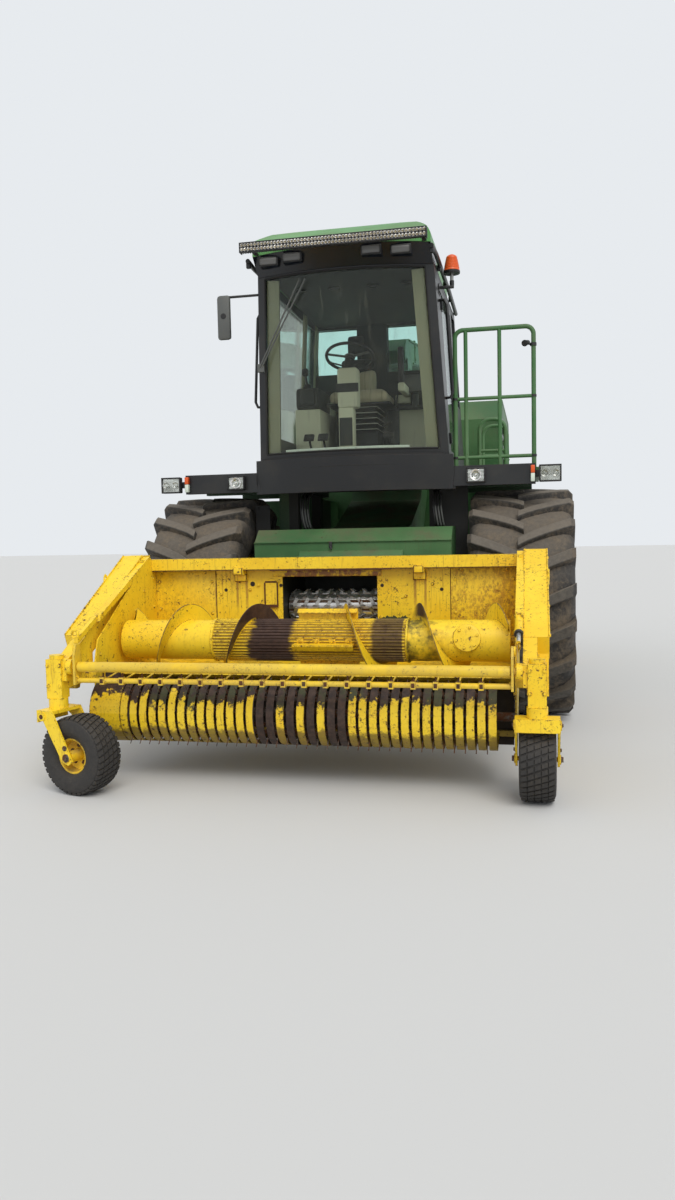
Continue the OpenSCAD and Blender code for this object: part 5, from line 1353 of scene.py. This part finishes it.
def mound(piece, across, deep, z, height, seed):
    """A low heap of chopped stalks: a bumpy sheet with its edges down on the metal."""
    low, high = Vector((across[0], deep[0], z)), Vector((across[1], deep[1], z))
    size = high - low
    place = Matrix.Translation((low + high) / 2) @ Matrix.Diagonal((size.x / 2, size.y / 2, 1, 1))
    made = bmesh.ops.create_grid(piece.mesh, x_segments=48, y_segments=12, size=1.0,
                                 matrix=place)["verts"]
    for vert in made:
        a, b = (vert.co.x - low.x) / size.x, (vert.co.y - low.y) / size.y
        rim = min(a, 1 - a, b * 0.4, (1 - b) * 0.4) * 6
        rough = noise.noise(Vector((vert.co.x * 0.02, vert.co.y * 0.03, seed)))
        fine = noise.noise(Vector((vert.co.x * 0.11, vert.co.y * 0.11, seed + 9)))
        vert.co.z += max(0.0, min(1.0, rim)) * height * (0.55 + 0.6 * rough + 0.5 * fine)


def make_strut_and_stay():
    """Bright rod, clevis and pin of the guard's strut, and clamps of the guard."""
    piece = Piece("bright_steel")
    piece.rod((1272, -2425, 909), (1272, -2512, 872), 11.6, sides=20)
    piece.paint("black_plastic")
    piece.rod((1272, -2418, 911), (1272, -2436, 904), 24, sides=24)
    piece.paint("header")
    for x in (1255, 1283):
        piece.block((x, -2300, 940), (x + 7, -2240, 1012), 3)
    piece.rod((1250, -2268, 986), (1295, -2268, 986), 13, sides=16)
    piece.rod((1272, -2250, 983), (1272, -2262, 978), 27, sides=24)
    piece.rod((1272, -2404, 917), (1272, -2418, 911), 26, sides=24)
    piece.done("guard_strut_details", "header")

    guard = Piece("dark_rust")
    for i in range(-9, 10):
        x = i * 120
        guard.turned([(-9, 16), (-9, 23), (9, 23), (9, 16)], (x, -2605, 650), steps=20, closed=True)
        guard.rod((x, -2600, 668), (x, -2594, 694), 5, sides=8)
        guard.rod((x - 14, -2612, 671), (x + 14, -2612, 671), 4, sides=6)
    guard.paint("header")
    for s in (-1, 1):
        guard.turned([(0, 12), (0, 26), (s * 9, 26), (s * 9, 12)], (s * 1249.5, -2590, 835),
                     steps=24, closed=True)
        guard.bolt((s * 1234, -2612, 668), (-s, 0, 0), 15, 8)
        guard.bolt((s * 1234, -2600, 728), (-s, 0, 0), 17, 9)
    guard.done("guard_clamps", "crop_guard")


make_auger()
make_feed_roll()
make_header_trim()
make_strut_and_stay()

# Chassis, rear body and spout


def make_under_cab():
    """Hoses, near-black mud flaps that also serve as painted shade beside the front wheels, and the
    chopper cover's fittings, which show under the cab.
    """
    piece = Piece("black_plastic")
    # Hoses that hang in loops on both sides of the duct
    for x0 in (-463, 590):
        for i in range(4):
            x = x0 + i * 19
            piece.pipe([(x, -180, 1790), (x, -300, 1740), (x + 8, -352, 1660), (x + 18, -365, 1590),
                        (x + 26, -352, 1530), (x + 30, -300, 1492 + i * 6), (x + 30, -240, 1488)],
                       8, 10)
    piece.rod((-700, -452, 1802), (700, -452, 1802), 14)
    # Mud flaps between the frame and the front wheels, near-black as painted shade of the frame and axle
    # there
    piece.paint("rubber_seal")
    piece.plate([(640, 1180), (858, 1180), (858, 1850), (640, 1850)], "Y", -262, -256)
    piece.plate([(-858, 1180), (-738, 1180), (-738, 1700), (-858, 1700)], "Y", -262, -256)
    for x, z in ((660, 1830), (750, 1830), (840, 1830), (-840, 1680), (-756, 1680)):
        piece.bolt((x, -262, z), (0, -1, 0), 18, 8)
    piece.paint("grey_plastic")
    for x0 in (-452, 604):
        for i in range(3):
            x = x0 + i * 22
            piece.pipe([(x, -190, 1780), (x + 4, -310, 1716), (x + 12, -368, 1640), (x + 22, -376, 1570),
                        (x + 30, -350, 1515), (x + 36, -300, 1488)], 6, 10)
    piece.paint("steel")
    for x0 in (-452, 604):
        for i in range(3):
            piece.rod((x0 + i * 22 + 35, -312, 1494), (x0 + i * 22 + 37, -270, 1482), 10, sides=6)
    # Lips, latch and pull of the cover over the chopper
    piece.paint("housing")
    piece.block((-762, -652, 1396), (762, -638, 1406), 3)
    for s in (-1, 1):
        piece.block(*sided(s, (430, -652, 1262), (762, -641, 1272)), 3)
    piece.paint("black_plastic")
    piece.block((-165, -660, 1352), (-141, -640, 1402), 5)
    piece.rod((-153, -656, 1366), (-145, -664, 1342), 6)
    piece.done("hoses_and_cover_latches", "chassis")


def make_cab_outside():
    """Gutters, handrails, the front beam's ledges and the railing's camera."""
    piece = Piece("black")
    # Rain gutters along the roof's sides, with their end clips
    for s in (-1, 1):
        path = [(s * 668, -900, 3452), (s * 680, -700, 3446), (s * 682, 300, 3430),
                (s * 676, 1040, 3414)]
        piece.pipe(path, 17, 12)
        for y in (-880, -420, 60, 540, 1010):
            piece.block(*sided(s, (655, y - 14, 3404), (684, y + 14, 3444)), 3)
    # Handrail beside the door, and the far one
    for s in (-1, 1):
        piece.pipe([(s * (cab_side(at) + out), y, z) for at, out, y, z in (
            (3180, 2, -452, 3180), (3180, 40, -470, 3178), (3140, 58, -474, 3140),
            (2500, 58, -470, 2500), (2460, 40, -466, 2462), (2460, 2, -452, 2460))], 11, 12)
    piece.done("gutters_and_handrails", "chassis")

    dash = Piece("rubber_seal")
    # Seal under the windscreen, and the groove along the front beam
    low = [(x, screen_y(x, 2046) - 30) for x in range(-700, 701, 70)]
    dash.plate(low + [(x, y + 34) for x, y in reversed(low)], "Z", 2040.5, 2052)
    low = [(x, screen_y(x, 1950) - 33) for x in range(-700, 701, 70)]
    dash.plate(low + [(x, y + 8) for x, y in reversed(low)], "Z", 1966, 1976)
    dash.done("front_beam_ledges", "chassis")

    camera = Piece("black_plastic")
    x, y, z = 1358, -380, DECK_TOP + 905
    camera.turned([(-11, 18.5), (-11, 24), (11, 24), (11, 18.5)], (x, y, z), (0, 0, 1), steps=20,
                  closed=True)
    camera.rod((x - 20, y, z), (x - 44, y - 4, z + 10), 7)
    camera.rod((x - 62, y - 40, z + 4), (x - 40, y + 22, z + 20), 21, 18, sides=20)
    camera.rod((x - 63, y - 43, z + 3), (x - 61, y - 38, z + 5), 24, 24, sides=20)
    # Collars where the railing's pipes meet
    for across, up in ((1360, 90), (1360, 530), (780, 90), (780, 530)):
        camera.turned([(-9, 17.5), (-9, 20.5), (9, 20.5), (9, 17.5)], (across, y, DECK_TOP + up),
                      (0, 0, 1), steps=20, closed=True)
    camera.done("railing_camera", "chassis")


def make_deck():
    """Anti-slip bars of the deck, and teeth of the ladder's treads."""
    piece = Piece("rail")
    for s in (-1, 1):
        # Raised bars of the anti-slip deck, and its edge angle
        for i in range(26):
            y = -405 + i * 52
            piece.bar((s * 775, y, DECK_TOP + 1.5), (s * 1080, y + 24, DECK_TOP + 1.5), 9, 3, (0, 1, 0))
            piece.bar((s * 1095, y + 24, DECK_TOP + 1.5), (s * 1385, y, DECK_TOP + 1.5), 9, 3, (0, 1, 0))
        piece.block(*sided(s, (1392, -418, DECK_TOP - 44), (1400, 948, DECK_TOP + 8)), 2)
        for y in range(-380, 940, 160):
            piece.bolt((s * 1400, y, DECK_TOP - 22), (s, 0, 0), 15, 7)
    # Teeth on the ladder's treads
    for i in range(5):
        z = 470 + i * 290
        x = 1420 - (z - 400) * 0.24
        for k in range(13):
            for s in (-1, 1):
                piece.block((s * x - 56, 1055 + k * 34, z + 28), (s * x + 56, 1065 + k * 34, z + 34))
    piece.done("deck_and_tread_grip", "chassis")


def make_rear_body():
    """Pressed frames, vents, latches, lamps, screen and caps of the rear body, w its half width."""
    w, y0, y1, z0, z1 = 1050, 1750, 4400, 1400, 2750
    piece = Piece("body")
    for s in (-1, 1):
        face = s * w
        # Pressed frames of the side panels
        spans = ((y0 + 60, y0 + 270), (y0 + 1400, y0 + 1980), (y0 + 2010, y1 - 60)) if s > 0 else (
            (y0 + 60, y0 + 960), (y0 + 990, y0 + 1780), (y0 + 1810, y1 - 60))
        for a, b in spans:
            for c, d, e, f in ((a, b, z0 + 60, z0 + 78), (a, b, z1 - 400, z1 - 382),
                               (a, a + 18, z0 + 60, z1 - 382), (b - 18, b, z0 + 60, z1 - 382)):
                piece.block(*sided(s, (w, c, e), (w + 7, d, f)), 3)
            for y in (a + 9, b - 9):
                for z in (z0 + 100, z1 - 420):
                    piece.bolt((face + s * 7, y, z), (s, 0, 0), 14, 6)
    # Slats of the air intake on the far side, top vents and tail panel
    for i in range(18):
        z = z0 + 160 + i * 42
        piece.bar((-w - 3, y0 + 1040, z), (-w - 3, y0 + 1740, z), 5, 30, (1, 0, 0))
    for i in range(16):
        piece.block((-700, y0 + 420 + i * 62, z1 + 1), (700, y0 + 452 + i * 62, z1 + 12), 4)
    piece.block((-880, y1 + 1, z0 + 120), (880, y1 + 9, z1 - 470), 4)
    for i in range(14):
        piece.block((-560, y1 + 8, z0 + 300 + i * 34), (560, y1 + 18, z0 + 318 + i * 34), 3)
    # Rain lip along the sloping shoulders
    for s in (-1, 1):
        piece.pipe([(s * (w - 2), y, z) for y, z in ((y0 + 4, z1 - 204), (y0 + 200, z1 - 2),
                                                     (y1 - 300, z1 - 2), (y1 - 2, z1 - 352))], 9, 8)
    piece.paint("black_plastic")
    for s in (-1, 1):
        for y in ((y0 + 1690, y0 + 2330) if s > 0 else (y0 + 520, y0 + 1380, y0 + 2160)):
            piece.block(*sided(s, (w, y - 45, 1560), (w + 16, y + 45, 1590)), 5)
        piece.block(*sided(s, (780, y1 + 2, 1440), (1030, y1 + 24, 1520)), 6)
    piece.block((w + 2, y0 + 1330, 2020), (w + 22, y0 + 1352, 2110), 5)
    for s in (-1, 1):
        piece.paint("red_lens")
        piece.block(*sided(s, (870, y1 + 23, 1450), (1020, y1 + 34, 1510)), 5)
        piece.paint("amber")
        piece.block(*sided(s, (792, y1 + 23, 1450), (864, y1 + 34, 1510)), 5)
    piece.paint("dark_steel")
    # Radiator screen behind the door, exhaust rim and tank cap
    for i in range(10):
        piece.block((w - 60, y0 + 330 + i * 104, z0 + 190), (w - 54, y0 + 338 + i * 104, z1 - 190))
    for i in range(16):
        piece.block((w - 60, y0 + 320, z0 + 200 + i * 60), (w - 56, y0 + 1330, z0 + 206 + i * 60))
    piece.turned([(231, 60), (258, 44), (262, 48), (262, 52), (258, 56), (231, 66)], (-700, 3350, z1),
                 (0, 0, 1), steps=32, closed=True)
    piece.turned([(100, 60), (100, 66), (108, 66), (108, 60)], (-700, 3350, z1), (0, 0, 1), steps=32,
                 closed=True)
    piece.paint("black_plastic")
    piece.turned([(0, 0), (0, 74), (14, 74), (18, 68), (50, 64), (56, 56), (56, 0)], (-925, 1250, 1780),
                 (0, 0, 1), steps=32)
    for y in (1150, 1560):
        piece.block((-1262, y - 30, 800), (-1250, y + 30, 1780), 3)
    piece.done("rear_body_details", "chassis")


def make_spout_details():
    """Ribs along the boom, its bands and straps, and the bolted ring of the turntable."""
    hw = SPOUT_HALF_WIDTH
    piece = Piece("body")
    for s in (-1, 1):
        face = s * hw
        for line in (((60, 262), (1500, 442), (2790, 502), (3100, 482)),
                     ((330, 92), (1500, 258), (2790, 308), (3100, 289))):
            piece.pipe([(face + s * 4, SPOUT_Y + back, SPOUT_Z + up) for back, up in line], 9, 8)
        for y, low, high in ((1900, 3158, 3342), (2900, 3276, 3478), (3600, 3302, 3506),
                             (4300, 3312, 3520)):
            piece.block(*sided(s, (hw, y - 14, low), (hw + 8, y + 14, high)), 3)
            for z in (low + 30, high - 30):
                piece.bolt((face + s * 8, y, z), (s, 0, 0), 15, 7)
    # Cross straps on the top
    for y, z in ((1900, 3372), (2900, 3498), (3600, 3526)):
        piece.block((-hw - 8, y - 14, z - 8), (hw + 8, y + 14, z + 5), 3)
    piece.done("spout_ribs", "spout")

    turret = Piece("housing")
    centre = (0, SPOUT_Y, 2824)
    turret.turned([(0, 206), (0, 246), (14, 246), (14, 206)], centre, (0, 0, 1), steps=64, closed=True)
    for i in range(16):
        a = 2 * math.pi * (i + 0.5) / 16
        turret.bolt((228 * math.cos(a), SPOUT_Y + 228 * math.sin(a), 2838), (0, 0, 1), 17, 9)
    turret.done("turntable_ring", "spout_turret")


make_under_cab()
make_cab_outside()
make_deck()
make_rear_body()
make_spout_details()


# Floor, light and camera


def floor_and_light():
    """Pale floor, a pale sky that mirrors and glass see as well, and one soft sun."""
    mesh = bmesh.new()
    bmesh.ops.create_grid(mesh, x_segments=1, y_segments=1, size=60)
    data = bpy.data.meshes.new("floor")
    mesh.to_mesh(data)
    floor = bpy.data.objects.new("floor", data)
    bpy.context.scene.collection.objects.link(floor)
    look = Look("floor_grey")
    data.materials.append(look.surface(Base_Color=(0.62, 0.62, 0.61), Roughness=0.9))

    world = bpy.data.worlds.new("sky")
    bpy.context.scene.world = world
    world.use_nodes = True
    tree = world.node_tree
    tree.nodes.clear()
    paths = tree.nodes.new("ShaderNodeLightPath")
    seen = tree.nodes.new("ShaderNodeMath")
    seen.operation = "MAXIMUM"
    tree.links.new(paths.outputs["Is Camera Ray"], seen.inputs[0])
    glossy = tree.nodes.new("ShaderNodeMath")
    glossy.operation = "MAXIMUM"
    tree.links.new(paths.outputs["Is Transmission Ray"], glossy.inputs[0])
    tree.links.new(paths.outputs["Is Glossy Ray"], glossy.inputs[1])
    tree.links.new(glossy.outputs[0], seen.inputs[1])
    lit = tree.nodes.new("ShaderNodeBackground")
    lit.inputs["Color"].default_value = (0.93, 0.96, 1.0, 1.0)
    lit.inputs["Strength"].default_value = 0.75
    shown = tree.nodes.new("ShaderNodeBackground")
    shown.inputs["Color"].default_value = (0.80, 0.83, 0.86, 1.0)
    shown.inputs["Strength"].default_value = 1.0
    mixed = tree.nodes.new("ShaderNodeMixShader")
    tree.links.new(seen.outputs[0], mixed.inputs[0])
    tree.links.new(lit.outputs[0], mixed.inputs[1])
    tree.links.new(shown.outputs[0], mixed.inputs[2])
    end = tree.nodes.new("ShaderNodeOutputWorld")
    tree.links.new(mixed.outputs[0], end.inputs["Surface"])

    sun = bpy.data.lights.new("soft_sun", "SUN")
    sun.energy = 1.7
    sun.angle = math.radians(35)
    sun.color = (1.0, 0.97, 0.92)
    lamp = bpy.data.objects.new("soft_sun", sun)
    lamp.rotation_euler = (math.radians(42), 0.0, math.radians(28))
    bpy.context.scene.collection.objects.link(lamp)


def photo_camera():
    """The camera that was fitted to the photograph."""
    yaw, pitch, roll = (math.radians(a) for a in (12.25, -4.33, 1.24))
    ahead = Vector((-math.sin(yaw) * math.cos(pitch), math.cos(yaw) * math.cos(pitch),
                    math.sin(pitch)))
    right = Vector((math.cos(yaw), math.sin(yaw), 0.0))
    up = right.cross(ahead)
    across = math.cos(roll) * right - math.sin(roll) * up
    upward = math.sin(roll) * right + math.cos(roll) * up
    data = bpy.data.cameras.new("photo_camera")
    data.sensor_fit = "VERTICAL"
    data.sensor_height = 36.0
    data.lens = 36.0 * 908 / 1200
    data.clip_end = 200.0
    camera = bpy.data.objects.new("photo_camera", data)
    turn = Matrix((across, upward, -ahead)).transposed().to_4x4()
    camera.matrix_world = Matrix.Translation((1.354, -8.469, 1.480)) @ turn
    bpy.context.scene.collection.objects.link(camera)
    bpy.context.scene.camera = camera


floor_and_light()
photo_camera()
bpy.context.scene.view_settings.view_transform = "Standard"
